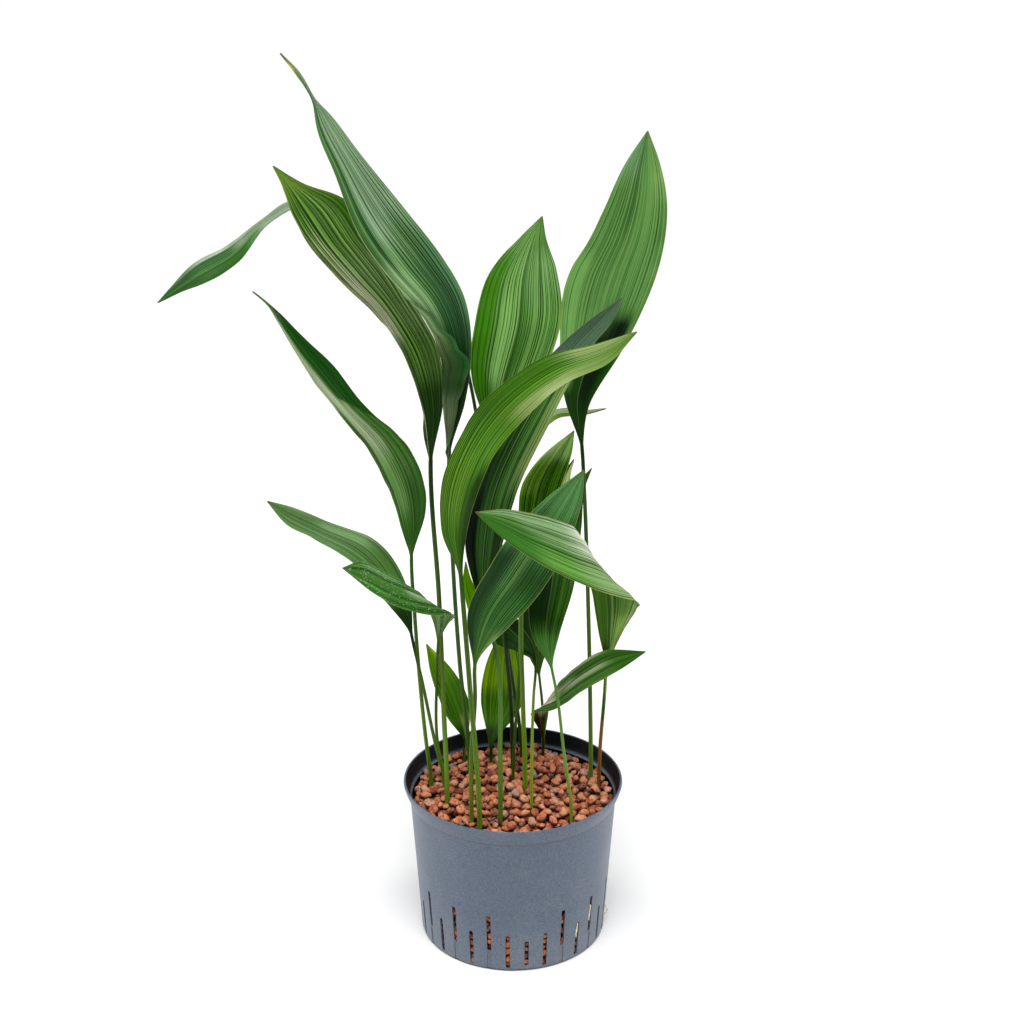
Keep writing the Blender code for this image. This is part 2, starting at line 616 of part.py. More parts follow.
def make_root(name, slot, heights, bulge, radius=1.0 * MM):
    """A pale root that lies in a drain slot; bulge is how far its middle stands outside the wall."""
    low, high = heights
    middle = (low + high) / 2
    line = bpy.data.curves.new(name, "CURVE")
    line.dimensions = "3D"
    line.bevel_depth = radius
    line.bevel_resolution = 1
    line.use_fill_caps = True
    path = line.splines.new("POLY")
    steps = 8
    path.points.add(steps)
    for i in range(steps + 1):
        t = i / steps
        z = low + (high - low) * t
        out = wall_radius(z) - 0.9 * MM + bulge * math.sin(math.pi * t)
        side = 0.6 * MM * math.sin(1.5 * math.pi * (z - middle) / (high - low))
        path.points[i].co = (out, side, z, 1.0)
    item = bpy.data.objects.new(name, line)
    item.rotation_euler[2] = slot_angle(slot)
    PART.objects.link(item)
    bpy.context.view_layer.update()
    graph = bpy.context.evaluated_depsgraph_get()
    mesh = bpy.data.meshes.new_from_object(item.evaluated_get(graph))
    shape = bmesh.new()
    shape.from_mesh(mesh)
    bmesh.ops.remove_doubles(shape, verts=shape.verts, dist=0.00002)
    matrix = item.matrix_world.copy()
    bpy.data.objects.remove(item, do_unlink=True)
    solid = bmesh_object(name, shape, PART, principled(name + "_cream", (0.62, 0.55, 0.36), 0.6))
    solid.matrix_world = matrix
    return solid


def make_roots():
    """Three roots have found their way into the slots on the right."""
    make_root("root_1", 4, (29 * MM, 47 * MM), 0.0)
    make_root("root_2", 5, (41 * MM, 61 * MM), 0.0)
    make_root("root_3", 8, (9.5 * MM, 24.5 * MM), 4.5 * MM)


def main():
    """Build every node."""
    clear_scene()
    make_pot()
    make_bed()
    make_roots()
    for leaf in LEAVES:
        make_leaf(leaf)


main()
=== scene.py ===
"""Dress the potted cast iron plant: living leaves, loose clay granules and a satin culture pot.

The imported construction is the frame. Every leaf, the granule bed, the pot and the roots are made again here
in fine meshes on the same named sizes, and each stands for its node. Rows that lay out the leaves are
millimetres.
"""
import logging
import math
from dataclasses import dataclass
from enum import Enum
from typing import Any, Callable

import bmesh
import bpy
import numpy as np
from mathutils import Matrix, Vector

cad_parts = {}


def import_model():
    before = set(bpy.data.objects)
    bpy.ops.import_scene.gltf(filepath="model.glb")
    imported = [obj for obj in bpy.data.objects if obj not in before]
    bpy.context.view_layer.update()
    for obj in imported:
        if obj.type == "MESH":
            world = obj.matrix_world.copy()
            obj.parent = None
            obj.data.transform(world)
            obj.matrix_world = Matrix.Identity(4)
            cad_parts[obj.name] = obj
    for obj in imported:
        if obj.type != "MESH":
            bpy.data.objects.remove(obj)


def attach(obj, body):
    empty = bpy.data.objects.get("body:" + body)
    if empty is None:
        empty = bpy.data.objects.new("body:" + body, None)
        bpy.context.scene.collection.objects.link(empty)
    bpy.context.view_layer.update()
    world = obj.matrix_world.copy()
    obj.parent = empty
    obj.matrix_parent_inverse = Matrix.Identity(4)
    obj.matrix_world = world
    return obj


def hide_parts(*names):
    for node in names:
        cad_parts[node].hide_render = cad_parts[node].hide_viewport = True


LOG = logging.getLogger("cast_iron_plant")
MM = 0.001
WELD = 0.02 * MM
FRONT = -math.pi / 2
Vec = tuple[float, float, float]
Socket = bpy.types.NodeSocket


def linear(hex_code: str) -> tuple[float, float, float, float]:
    """Turn an sRGB hex colour into Blender's linear colour.

    Args:
        hex_code: six digits, such as "5c6a78".

    Returns:
        Linear red, green and blue with an alpha of one.
    """
    parts = [int(hex_code[i:i + 2], 16) / 255.0 for i in (0, 2, 4)]
    red, green, blue = (p / 12.92 if p <= 0.04045 else ((p + 0.055) / 1.055) ** 2.4 for p in parts)
    return red, green, blue, 1.0


def ease(low: float, high: float, at: np.ndarray) -> np.ndarray:
    """Rise smoothly from 0 at low to 1 at high."""
    t = np.clip((at - low) / (high - low), 0.0, 1.0)
    return t * t * (3 - 2 * t)


def unit(rows: np.ndarray) -> np.ndarray:
    """Scale rows of vectors to length one."""
    return rows / np.maximum(np.linalg.norm(rows, axis=-1, keepdims=True), 1e-12)


# --- nodes ------------------------------------------------------------------------------------------


def feed(tree: bpy.types.NodeTree, node: bpy.types.Node, inputs: dict) -> None:
    """Link or set a node's inputs.

    Args:
        tree: the node tree.
        node: the node that is fed.
        inputs: input name or number, to an output socket to link or a plain value to set.
    """
    for key, value in inputs.items():
        if isinstance(value, Socket):
            tree.links.new(value, node.inputs[key])
        else:
            node.inputs[key].default_value = value


def add(tree: bpy.types.NodeTree, kind: str, inputs: dict | None = None, **settings: Any) -> bpy.types.Node:
    """Add one node with its settings and links.

    Args:
        tree: the node tree that gets it.
        kind: Blender's class name of the node.
        inputs: what feeds it, as feed takes it.
        settings: the node's own properties; stops fills a colour ramp with (place, hex colour) pairs.

    Returns:
        The new node.
    """
    node = tree.nodes.new(kind)
    stops = settings.pop("stops", ())
    for name, value in settings.items():
        setattr(node, name, value)
    for i, (place, hex_code) in enumerate(stops):
        ramp = node.color_ramp
        element = ramp.elements[i] if i < min(2, len(stops)) else ramp.elements.new(place)
        element.position = place
        element.color = linear(hex_code)
    feed(tree, node, inputs or {})
    return node


def new_material(name: str) -> tuple[bpy.types.Material, bpy.types.NodeTree, bpy.types.Node]:
    """Make an empty material with its Principled shader wired to the output.

    Args:
        name: the real material's name.

    Returns:
        The material, its tree and the shader node.
    """
    material = bpy.data.materials.new(name)
    material.use_nodes = True
    tree = material.node_tree
    tree.nodes.clear()
    shader = add(tree, "ShaderNodeBsdfPrincipled")
    add(tree, "ShaderNodeOutputMaterial", {"Surface": shader.outputs[0]})
    return material, tree, shader


# --- pieces -----------------------------------------------------------------------------------------


def smooth(item: bpy.types.Object, degrees: float = 50.0) -> None:
    """Shade a piece smooth with edges sharper than an angle kept crisp."""
    item.data.shade_smooth()
    item.data.set_sharp_from_angle(angle=math.radians(degrees))


def seat(item: bpy.types.Object, slot: str, *nodes: str) -> None:
    """Let a finished piece ride on the plant's body and stand for its nodes.

    Args:
        item: the finished piece, with its place in its mesh.
        slot: the record's material slot; not used.
        nodes: the construction's nodes that it stands for.
    """
    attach(item, "root")
    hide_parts(*nodes)
    faces = sum(len(polygon.vertices) - 2 for polygon in item.data.polygons)
    LOG.info("%s: %d triangles for %s", item.name, faces, ", ".join(nodes))


def new_piece(name: str, data: bpy.types.ID | None) -> bpy.types.Object:
    """Link a mesh, curve, lamp or camera to the scene.

    Args:
        name: the object's name.
        data: what it shows.

    Returns:
        The object, at the origin.
    """
    item = bpy.data.objects.new(name, data)
    bpy.context.scene.collection.objects.link(item)
    return item


def baked(item: bpy.types.Object, name: str) -> bpy.types.Object:
    """Replace an object with modifiers by a plain mesh piece of its result.

    Args:
        item: the object to evaluate; it is removed.
        name: name of the plain piece.

    Returns:
        The plain piece at the origin.
    """
    bpy.context.view_layer.update()
    graph = bpy.context.evaluated_depsgraph_get()
    mesh = bpy.data.meshes.new_from_object(item.evaluated_get(graph))
    bpy.data.objects.remove(item, do_unlink=True)
    mesh.name = name
    return new_piece(name, mesh)


def turned(name: str, outline: list[tuple[float, float]], steps: int) -> bpy.types.Object:
    """Turn an outline about the pot's axis with a Screw modifier.

    Args:
        name: start of the object's name.
        outline: radii and heights in millimetres.
        steps: steps of a full turn.

    Returns:
        The object, still with its modifier.
    """
    mesh = bpy.data.meshes.new(name + "_profile")
    points = [(radius * MM, 0.0, height * MM) for radius, height in outline]
    mesh.from_pydata(points, [(i, i + 1) for i in range(len(points) - 1)], [])
    item = new_piece(name + "_turned", mesh)
    screw = item.modifiers.new("turn", "SCREW")
    screw.steps = screw.render_steps = steps
    screw.use_merge_vertices = True
    screw.merge_threshold = WELD
    return item


def heal(item: bpy.types.Object, weld: float = 0.0) -> None:
    """Turn a piece's faces outward.

    Args:
        item: the piece.
        weld: how near points are merged first; 0 leaves them apart.
    """
    shape = bmesh.new()
    shape.from_mesh(item.data)
    if weld:
        bmesh.ops.remove_doubles(shape, verts=shape.verts, dist=weld)
    bmesh.ops.recalc_face_normals(shape, faces=shape.faces)
    shape.to_mesh(item.data)
    shape.free()


def coat(item: bpy.types.Object, material: bpy.types.Material) -> None:
    """Give a piece one material in place of any others."""
    item.data.materials.clear()
    item.data.materials.append(material)


def mark(mesh: bpy.types.Mesh, name: str, kind: str, values: np.ndarray) -> None:
    """Store one value per point in a mesh.

    Args:
        mesh: the mesh that gets them.
        name: the attribute's name.
        kind: FLOAT, FLOAT_VECTOR or FLOAT_COLOR.
        values: the values, one row per point.
    """
    key = {"FLOAT": "value", "FLOAT_VECTOR": "vector", "FLOAT_COLOR": "color"}[kind]
    layer = mesh.attributes.new(name, kind, "POINT")
    layer.data.foreach_set(key, values.astype(np.float32).reshape(-1))


# --- finishes ---------------------------------------------------------------------------------------


@dataclass(frozen=True)
class Polypropylene:
    """Injection-moulded polypropylene: satin, evenly dyed, with a faint grain, dry dust low down and painted
    shade inside and at the base edge.
    """

    name: str = "moulded_polypropylene_slate"
    dye: str = "4f5b6c"
    dust: str = "8b8f90"
    # Near-black tone of the painted shade inside the pot and along the base edge.
    painted_shade: str = "0c1015"
    ior: float = 1.49
    roughness: float = 0.36
    grain_mm: float = 1.6
    dust_top_mm: float = 70.0
    contact_shade_mm: tuple[float, float] = (1.4, 3.2)
    lip_mm: tuple[float, float] = (188.6, 189.3)

    def build(self) -> bpy.types.Material:
        """Build the pot's material.

        Returns:
            The material.
        """
        material, tree, shader = new_material(self.name)
        place = add(tree, "ShaderNodeTexCoord").outputs["Object"]
        height = add(tree, "ShaderNodeSeparateXYZ", {0: place}).outputs[2]
        # Broad, weak clouds: the dye and the wear of handling are never quite even.
        cloud = add(tree, "ShaderNodeTexNoise", {"Vector": place, "Scale": 22.0, "Detail": 3.0}).outputs[0]
        low = add(
            tree, "ShaderNodeMapRange", {0: height, 1: 0.0, 2: self.dust_top_mm * MM, 3: 0.42, 4: 0.0}
        ).outputs[0]
        dusty = add(tree, "ShaderNodeMath", {0: low, 1: cloud}, operation="MULTIPLY").outputs[0]
        scuffs = add(tree, "ShaderNodeMapRange", {0: cloud, 1: 0.52, 2: 0.74, 3: 0.0, 4: 0.10}).outputs[0]
        worn = add(tree, "ShaderNodeMath", {0: dusty, 1: scuffs}, operation="ADD").outputs[0]
        colour = add(
            tree, "ShaderNodeMix", {0: worn, 6: linear(self.dye), 7: linear(self.dust)}, data_type="RGBA"
        ).outputs[2]
        # Painted shade: the inner face below the lip is coloured nearly black for the shaded inside of the
        # pot, and reflects less there.
        normal = add(tree, "ShaderNodeNewGeometry").outputs["Normal"]
        facing = add(
            tree, "ShaderNodeVectorMath", {0: normal, 1: place}, operation="DOT_PRODUCT"
        ).outputs["Value"]
        inward = add(tree, "ShaderNodeMapRange", {0: facing, 1: -30 * MM, 2: 0.0, 3: 1.0, 4: 0.0}).outputs[0]
        low, high = (edge * MM for edge in self.lip_mm)
        below = add(tree, "ShaderNodeMapRange", {0: height, 1: low, 2: high, 3: 1.0, 4: 0.0}).outputs[0]
        painted_shade = add(tree, "ShaderNodeMath", {0: inward, 1: below}, operation="MULTIPLY").outputs[0]
        # Painted contact shadow: the lowest few millimetres of the base edge are darkened where the pot meets
        # the floor.
        low, high = (edge * MM for edge in self.contact_shade_mm)
        base_contact_shade = add(tree, "ShaderNodeMapRange", {0: height, 1: low, 2: high, 3: 0.8, 4: 0.0}).outputs[0]
        for share in (painted_shade, base_contact_shade):
            colour = add(
                tree, "ShaderNodeMix", {0: share, 6: colour, 7: linear(self.painted_shade)}, data_type="RGBA"
            ).outputs[2]
        # Mould grain, drawn at more than a millimetre so that it still shows from a step away.
        grain = add(
            tree, "ShaderNodeTexNoise", {"Vector": place, "Scale": 1.0 / (self.grain_mm * MM), "Detail": 3.0}
        ).outputs[0]
        mottle = add(tree, "ShaderNodeMapRange", {0: grain, 1: 0.3, 2: 0.7, 3: 0.68, 4: 1.32}).outputs[0]
        stippled = add(tree, "ShaderNodeVectorMath", {0: colour, 3: mottle}, operation="SCALE")
        smooth_end, dull_end = self.roughness, self.roughness + 0.12
        gloss = add(tree, "ShaderNodeMapRange", {0: cloud, 1: 0.3, 2: 0.7, 3: smooth_end, 4: dull_end})
        shine = add(tree, "ShaderNodeMapRange", {0: painted_shade, 1: 0.0, 2: 1.0, 3: 0.5, 4: 0.1})
        bump = add(tree, "ShaderNodeBump", {"Height": grain, "Strength": 0.10, "Distance": 0.15 * MM})
        feed(tree, shader, {
            "Base Color": stippled.outputs[0], "Roughness": gloss.outputs[0], "Normal": bump.outputs[0],
            "Specular IOR Level": shine.outputs[0], "IOR": self.ior,
        })
        return material


@dataclass(frozen=True)
class ExpandedClay:
    """Kiln-fired expanded clay: porous, matt terracotta with ashy, dark and orange granules among them."""

    name: str = "kiln_fired_expanded_clay"
    worn: str = "dcae94"
    pit: str = "3d2620"
    # Tone of the painted shade on the flanks of the bed's granules.
    painted_shade: str = "2a150e"
    roughness: float = 0.88
    gloss: float = 0.25
    pore_mm: float = 2.4
    pore_depth_mm: float = 1.6
    shade_from_mm: float = 100.0
    shade_blend_mm: float = 10.0
    # The lowest stop, near black, paints the core under the granules as shade and colours the few darkest
    # real granules.
    kiln: tuple[tuple[float, str], ...] = (
        (0.0, "0c0705"), (0.03, "743c26"), (0.18, "a04e30"), (0.42, "c66e48"), (0.7, "da865c"),
        (0.88, "e4a27c"), (0.95, "c08e78"), (0.975, "948a84"), (1.0, "7c3e2a"),
    )

    def build(self) -> bpy.types.Material:
        """Build the granules' material; each granule's tint is an attribute of its mesh.

        Returns:
            The material.
        """
        material, tree, shader = new_material(self.name)
        place = add(tree, "ShaderNodeTexCoord").outputs["Object"]
        tint = add(tree, "ShaderNodeAttribute", attribute_name="granule_tint").outputs["Fac"]
        colour = add(tree, "ShaderNodeValToRGB", {0: tint}, stops=self.kiln).outputs[0]
        # Paler worn skin and darker pores, at the size of the real pores.
        patches = add(tree, "ShaderNodeTexNoise", {"Vector": place, "Scale": 210.0, "Detail": 2.0}).outputs[0]
        worn = add(tree, "ShaderNodeMapRange", {0: patches, 1: 0.45, 2: 0.7, 3: 0.0, 4: 0.45}).outputs[0]
        pores = add(
            tree, "ShaderNodeTexNoise",
            {"Vector": place, "Scale": 1.0 / (self.pore_mm * MM), "Detail": 5.0, "Roughness": 0.7},
        ).outputs[0]
        pit = add(tree, "ShaderNodeMapRange", {0: pores, 1: 0.36, 2: 0.5, 3: 0.8, 4: 0.0}).outputs[0]
        # Painted shade: the bed granules' flanks and undersides, which face sideways or down, are darkened
        # where shade falls between them.
        normal = add(tree, "ShaderNodeNewGeometry").outputs["Normal"]
        slope = add(tree, "ShaderNodeSeparateXYZ", {0: normal}).outputs[2]
        flank = add(tree, "ShaderNodeMapRange", {0: slope, 1: -0.2, 2: 0.45, 3: 0.8, 4: 0.0}).outputs[0]
        height = add(tree, "ShaderNodeSeparateXYZ", {0: place}).outputs[2]
        low, high = self.shade_from_mm * MM, (self.shade_from_mm + self.shade_blend_mm) * MM
        bedded = add(tree, "ShaderNodeMapRange", {0: height, 1: low, 2: high, 3: 0.0, 4: 1.0}).outputs[0]
        painted_shade = add(tree, "ShaderNodeMath", {0: flank, 1: bedded}, operation="MULTIPLY").outputs[0]
        for share, tone in ((worn, self.worn), (pit, self.pit), (painted_shade, self.painted_shade)):
            colour = add(
                tree, "ShaderNodeMix", {0: share, 6: colour, 7: linear(tone)}, data_type="RGBA"
            ).outputs[2]
        bump = add(
            tree, "ShaderNodeBump", {"Height": pores, "Strength": 0.9, "Distance": self.pore_depth_mm * MM}
        )
        feed(tree, shader, {
            "Base Color": colour, "Roughness": self.roughness, "Specular IOR Level": self.gloss,
            "Normal": bump.outputs[0],
        })
        return material


@dataclass(frozen=True)
class RootRind:
    """A living root's rind: cream and matt, browner where it has dried."""

    name: str = "living_root_rind"
    roughness: float = 0.6
    tones: tuple[tuple[float, str], ...] = ((0.28, "b09a62"), (0.45, "e2d49c"), (0.7, "f4ecc8"))

    def build(self) -> bpy.types.Material:
        """Build the roots' material.

        Returns:
            The material.
        """
        material, tree, shader = new_material(self.name)
        place = add(tree, "ShaderNodeTexCoord").outputs["Object"]
        patches = add(tree, "ShaderNodeTexNoise", {"Vector": place, "Scale": 260.0, "Detail": 3.0}).outputs[0]
        colour = add(tree, "ShaderNodeValToRGB", {0: patches}, stops=self.tones).outputs[0]
        bump = add(tree, "ShaderNodeBump", {"Height": patches, "Strength": 0.4, "Distance": 0.3 * MM})
        feed(tree, shader, {"Base Color": colour, "Roughness": self.roughness, "Normal": bump.outputs[0]})
        return material


@dataclass(frozen=True)
class PaleFloor:
    """A painted studio floor: matt white, so that the plant keeps its own colours."""

    name: str = "matt_white_studio_paint"
    colour: str = "e9e9e9"
    roughness: float = 0.9

    def build(self) -> bpy.types.Material:
        """Build the floor's material.

        Returns:
            The material.
        """
        material, tree, shader = new_material(self.name)
        feed(tree, shader, {"Base Color": linear(self.colour), "Roughness": self.roughness})
        return material


@dataclass(frozen=True)
class Cuticle:
    """A leaf's waxed skin: green between the veins, paler on them, paler again and duller underneath.

    The veins run from the stalk to the tip, so every pattern follows the leaf_place attribute: across the
    blade from -1 to 1, along it in metres from its base, and 1 on the upper face. A pattern's row is its
    stripes on each half of the blade, its changes for each metre along it and its octaves of noise.
    """

    deep: str = "2f5a1c"
    light: str = "5f9140"
    under: str = "7f9c66"
    streaks: float = 0.55
    veins: float = 1.0
    roughness: float = 0.40
    midrib: str = "7d9c52"
    midrib_share: float = 0.25
    # Pale yellow of the margin's painted highlight.
    margin: str = "a9b05c"
    margin_highlight_share: float = 0.3
    tip: str = "5c5c28"
    tip_share: float = 0.5
    stalk_foot: str = "62801e"
    stalk_top: str = "1c3c12"
    # Deep green of the blade's base, which also carries painted shade.
    base: str = "16300a"
    base_green_shade_reach: float = 0.28
    base_green_shade_share: float = 0.6
    breakup: float = 0.6
    sheen: float = 0.12
    specks: float = 0.0
    lime: str = "c8d4c4"
    ior: float = 1.43
    relief_mm: float = 0.6
    band_row: tuple[float, float, float] = (9.0, 1.3, 2.0)
    vein_row: tuple[float, float, float] = (25.0, 1.8, 2.0)
    blotch_row: tuple[float, float, float] = (1.6, 14.0, 3.0)

    def build(self, leaf: str, length: float, stalk: float, seed: float) -> bpy.types.Material:
        """Build one leaf's skin.

        Args:
            leaf: name of the leaf, which the material's name ends in.
            length: blade's length in metres.
            stalk: stalk's length in metres.
            seed: number that moves the patterns so that no two leaves share them.

        Returns:
            The material.
        """
        material, tree, shader = new_material("waxed_leaf_skin_" + leaf)
        place = add(tree, "ShaderNodeAttribute", attribute_name="leaf_place").outputs["Vector"]
        patch = add(tree, "ShaderNodeAttribute", attribute_name="leaf_painted_light_and_marks").outputs
        along, side = add(tree, "ShaderNodeSeparateXYZ", {0: place}).outputs[1:3]
        # Real veins lie about a millimetre apart; on wide blades these lie twice as far apart, so they show.
        bands = self.pattern(tree, place, seed, self.band_row)
        fine = self.pattern(tree, place, seed, self.vein_row)
        blotch = self.pattern(tree, place, seed, self.blotch_row)
        share = self.stripes(tree, bands, fine, blotch)
        blade = self.faces(tree, share, side, patch)
        # The base is darkened where the blade gathers into its stalk: a deeper green of its own, with painted
        # shade from the crowded leaves above.
        base_green_shade_mix = add(
            tree, "ShaderNodeMapRange",
            {0: along, 1: 0.0, 2: length * self.base_green_shade_reach, 3: self.base_green_shade_share, 4: 0.0},
            interpolation_type="SMOOTHSTEP",
        ).outputs[0]
        blade = add(
            tree, "ShaderNodeMix", {0: base_green_shade_mix, 6: blade, 7: linear(self.base)}, data_type="RGBA"
        ).outputs[2]
        # Thin sunken veins cross patches too, which keeps every tone of the blade finely lined.
        line = add(
            tree, "ShaderNodeMapRange", {0: fine, 1: 0.36, 2: 0.5, 3: 1.0 - 0.44 * self.veins, 4: 1.06}
        ).outputs[0]
        blade = add(tree, "ShaderNodeVectorMath", {0: blade, 3: line}, operation="SCALE").outputs[0]
        blade = self.edges(tree, blade, place, length)
        rind = self.rind(tree, share, along, stalk, patch)
        on_blade = add(
            tree, "ShaderNodeMapRange", {0: along, 1: -15 * MM, 2: 25 * MM, 3: 0.0, 4: 1.0},
            interpolation_type="SMOOTHSTEP",
        ).outputs[0]
        colour = add(tree, "ShaderNodeMix", {0: on_blade, 6: rind, 7: blade}, data_type="RGBA").outputs[2]
        # Wax: the upper face shines more than the lower one, and less where it is dusty.
        wax = add(
            tree, "ShaderNodeMapRange", {0: side, 1: 0.0, 2: 1.0, 3: self.roughness + 0.16, 4: self.roughness}
        ).outputs[0]
        dusty = add(tree, "ShaderNodeMapRange", {0: blotch, 1: 0.3, 2: 0.7, 3: -0.05, 4: 0.08}).outputs[0]
        gloss = add(tree, "ShaderNodeMath", {0: wax, 1: dusty}, operation="ADD")
        relief = add(tree, "ShaderNodeMath", {0: fine, 1: bands}, operation="ADD").outputs[0]
        bump = add(
            tree, "ShaderNodeBump",
            {"Height": relief, "Strength": 0.5 * self.veins, "Distance": self.relief_mm * MM},
        )
        feed(tree, shader, {
            "Base Color": colour, "Roughness": gloss.outputs[0], "Normal": bump.outputs[0], "IOR": self.ior,
            "Specular IOR Level": self.sheen,
        })
        return material

    def pattern(
        self, tree: bpy.types.NodeTree, place: Socket, seed: float, row: tuple[float, float, float]
    ) -> Socket:
        """Draw noise out along the blade.

        Args:
            tree: the material's tree.
            place: the leaf_place vector.
            seed: number that moves the pattern.
            row: the pattern's row.

        Returns:
            The noise.
        """
        count, run, detail = row
        drawn = add(
            tree, "ShaderNodeMapping",
            {"Vector": place, "Scale": (count, run, 0.0), "Location": (seed, seed * 0.37, seed)},
        ).outputs[0]
        return add(
            tree, "ShaderNodeTexNoise", {"Vector": drawn, "Scale": 1.0, "Detail": detail, "Roughness": 0.6}
        ).outputs[0]

    def stripes(self, tree: bpy.types.NodeTree, bands: Socket, fine: Socket, blotch: Socket) -> Socket:
        """Add broad bands, fine veins and weak blotches up to the share of the lighter green.

        Args:
            tree: the material's tree.
            bands: the broad bands' noise.
            fine: the fine veins' noise.
            blotch: the blotches' noise.

        Returns:
            The share, from 0 to 1.
        """
        half = self.streaks / 2
        broad = add(
            tree, "ShaderNodeMapRange", {0: bands, 1: 0.38, 2: 0.62, 3: 0.5 - half, 4: 0.5 + half}
        ).outputs[0]
        low, high = -0.44 * self.veins, 0.4 * self.veins
        thin = add(tree, "ShaderNodeMapRange", {0: fine, 1: 0.42, 2: 0.58, 3: low, 4: high}).outputs[0]
        weak = add(tree, "ShaderNodeMapRange", {0: blotch, 1: 0.3, 2: 0.7, 3: -0.12, 4: 0.12}).outputs[0]
        streak = add(tree, "ShaderNodeMath", {0: broad, 1: thin}, operation="ADD").outputs[0]
        return add(tree, "ShaderNodeMath", {0: streak, 1: weak}, operation="ADD", use_clamp=True).outputs[0]

    def faces(
        self, tree: bpy.types.NodeTree, share: Socket, side: Socket, patch: bpy.types.NodeOutputs
    ) -> Socket:
        """Colour the upper and the duller lower face and lay the patches over them.

        Args:
            tree: the material's tree.
            share: share of the lighter green.
            side: 1 on the upper face and 0 on the lower one.
            patch: the leaf_painted_light_and_marks attribute's outputs.

        Returns:
            The blade's colour.
        """
        upper = add(
            tree, "ShaderNodeMix", {0: share, 6: linear(self.deep), 7: linear(self.light)}, data_type="RGBA"
        ).outputs[2]
        dull = add(tree, "ShaderNodeMapRange", {0: share, 1: 0.1, 2: 0.9, 3: 0.15, 4: 0.95}).outputs[0]
        lower = add(
            tree, "ShaderNodeMix", {0: dull, 6: upper, 7: linear(self.under)}, data_type="RGBA"
        ).outputs[2]
        face = add(tree, "ShaderNodeMix", {0: side, 6: lower, 7: upper}, data_type="RGBA").outputs[2]
        # Patches of painted shade and highlight thin out into single streaks along the veins.
        streaky = add(tree, "ShaderNodeMath", {0: share, 1: patch["Alpha"]}, operation="ADD").outputs[0]
        broken = add(tree, "ShaderNodeMapRange", {0: streaky, 1: 0.7, 2: 1.3, 3: 0.0, 4: 1.0}).outputs[0]
        cover = add(
            tree, "ShaderNodeMix", {0: self.breakup, 2: patch["Alpha"], 3: broken}, data_type="FLOAT"
        ).outputs[0]
        cover = add(tree, "ShaderNodeMath", {0: cover, 1: patch["Alpha"]}, operation="MULTIPLY").outputs[0]
        cover = add(tree, "ShaderNodeMath", {0: cover, 1: 1.25}, operation="MULTIPLY", use_clamp=True)
        return add(
            tree, "ShaderNodeMix", {0: cover.outputs[0], 6: face, 7: patch["Color"]}, data_type="RGBA"
        ).outputs[2]

    def edges(self, tree: bpy.types.NodeTree, blade: Socket, place: Socket, length: float) -> Socket:
        """Lay the midrib, margin, tip and lime specks over a blade.

        Args:
            tree: the material's tree.
            blade: the blade's colour so far.
            place: the leaf_place vector.
            length: blade's length in metres.

        Returns:
            The blade's colour.
        """
        across, along, side = add(tree, "ShaderNodeSeparateXYZ", {0: place}).outputs[:3]
        wide = add(tree, "ShaderNodeMath", {0: across}, operation="ABSOLUTE").outputs[0]
        # Midrib: a pale line along the middle, stronger underneath.
        under, over = self.midrib_share + 0.4, self.midrib_share
        strong = add(tree, "ShaderNodeMapRange", {0: side, 1: 0.0, 2: 1.0, 3: under, 4: over}).outputs[0]
        rib = add(tree, "ShaderNodeMapRange", {0: wide, 1: 0.008, 2: 0.04, 3: strong, 4: 0.0}).outputs[0]
        # Margin: a thin rim painted pale yellow, a painted highlight of light shining through the edge.
        rim = add(
            tree, "ShaderNodeMapRange", {0: wide, 1: 0.965, 2: 0.99, 3: 0.0, 4: self.margin_highlight_share}
        ).outputs[0]
        # Tip: drying over the last centimetre.
        dry = add(
            tree, "ShaderNodeMapRange",
            {0: along, 1: length - 10 * MM, 2: length - 2 * MM, 3: 0.0, 4: self.tip_share},
        ).outputs[0]
        layers = [(rib, self.midrib), (rim, self.margin), (dry, self.tip)]
        if self.specks:
            # Specks of lime that drops of hard water have left.
            where = add(tree, "ShaderNodeTexCoord").outputs["Object"]
            spots = add(tree, "ShaderNodeTexNoise", {"Vector": where, "Scale": 640.0, "Detail": 3.0})
            limed = add(
                tree, "ShaderNodeMapRange", {0: spots.outputs[0], 1: 0.62, 2: 0.68, 3: 0.0, 4: self.specks}
            )
            layers.append((limed.outputs[0], self.lime))
        for share, tone in layers:
            blade = add(
                tree, "ShaderNodeMix", {0: share, 6: blade, 7: linear(tone)}, data_type="RGBA"
            ).outputs[2]
        return blade

    def rind(
        self, tree: bpy.types.NodeTree, share: Socket, along: Socket, stalk: float,
        patch: bpy.types.NodeOutputs,
    ) -> Socket:
        """Colour the stalk: bright at the foot, the blade's own green at the top.

        Args:
            tree: the material's tree.
            share: share of the lighter green.
            along: metres from the blade's base.
            stalk: stalk's length in metres.
            patch: the leaf_painted_light_and_marks attribute's outputs.

        Returns:
            The stalk's colour.
        """
        height = add(
            tree, "ShaderNodeMapRange", {0: along, 1: -stalk, 2: -0.25 * stalk, 3: 0.0, 4: 1.0}
        ).outputs[0]
        grain = add(tree, "ShaderNodeMath", {0: share, 1: -0.25}, operation="ADD").outputs[0]
        climb = add(tree, "ShaderNodeMath", {0: height, 1: grain}, operation="SUBTRACT", use_clamp=True)
        colour = add(
            tree, "ShaderNodeMix",
            {0: climb.outputs[0], 6: linear(self.stalk_foot), 7: linear(self.stalk_top)}, data_type="RGBA",
        ).outputs[2]
        # The patches lay their painted shade and highlight over the stalk as well.
        return add(
            tree, "ShaderNodeMix", {0: patch["Alpha"], 6: colour, 7: patch["Color"]}, data_type="RGBA"
        ).outputs[2]


# --- leaves -----------------------------------------------------------------------------------------


class Age(Enum):
    """How mature a leaf is, named after the record's slot for its finish."""

    DEEP = "foliage_deep"
    MID = "foliage_mid"
    FRESH = "foliage_fresh"
    LIME = "foliage_lime"


@dataclass(frozen=True)
class Flap:
    """A strip of blade beyond the margin that is folded back over the leaf."""

    side: int
    start: float
    peak: float
    end: float
    width_mm: float
    degrees: float
    round_mm: float = 1.6


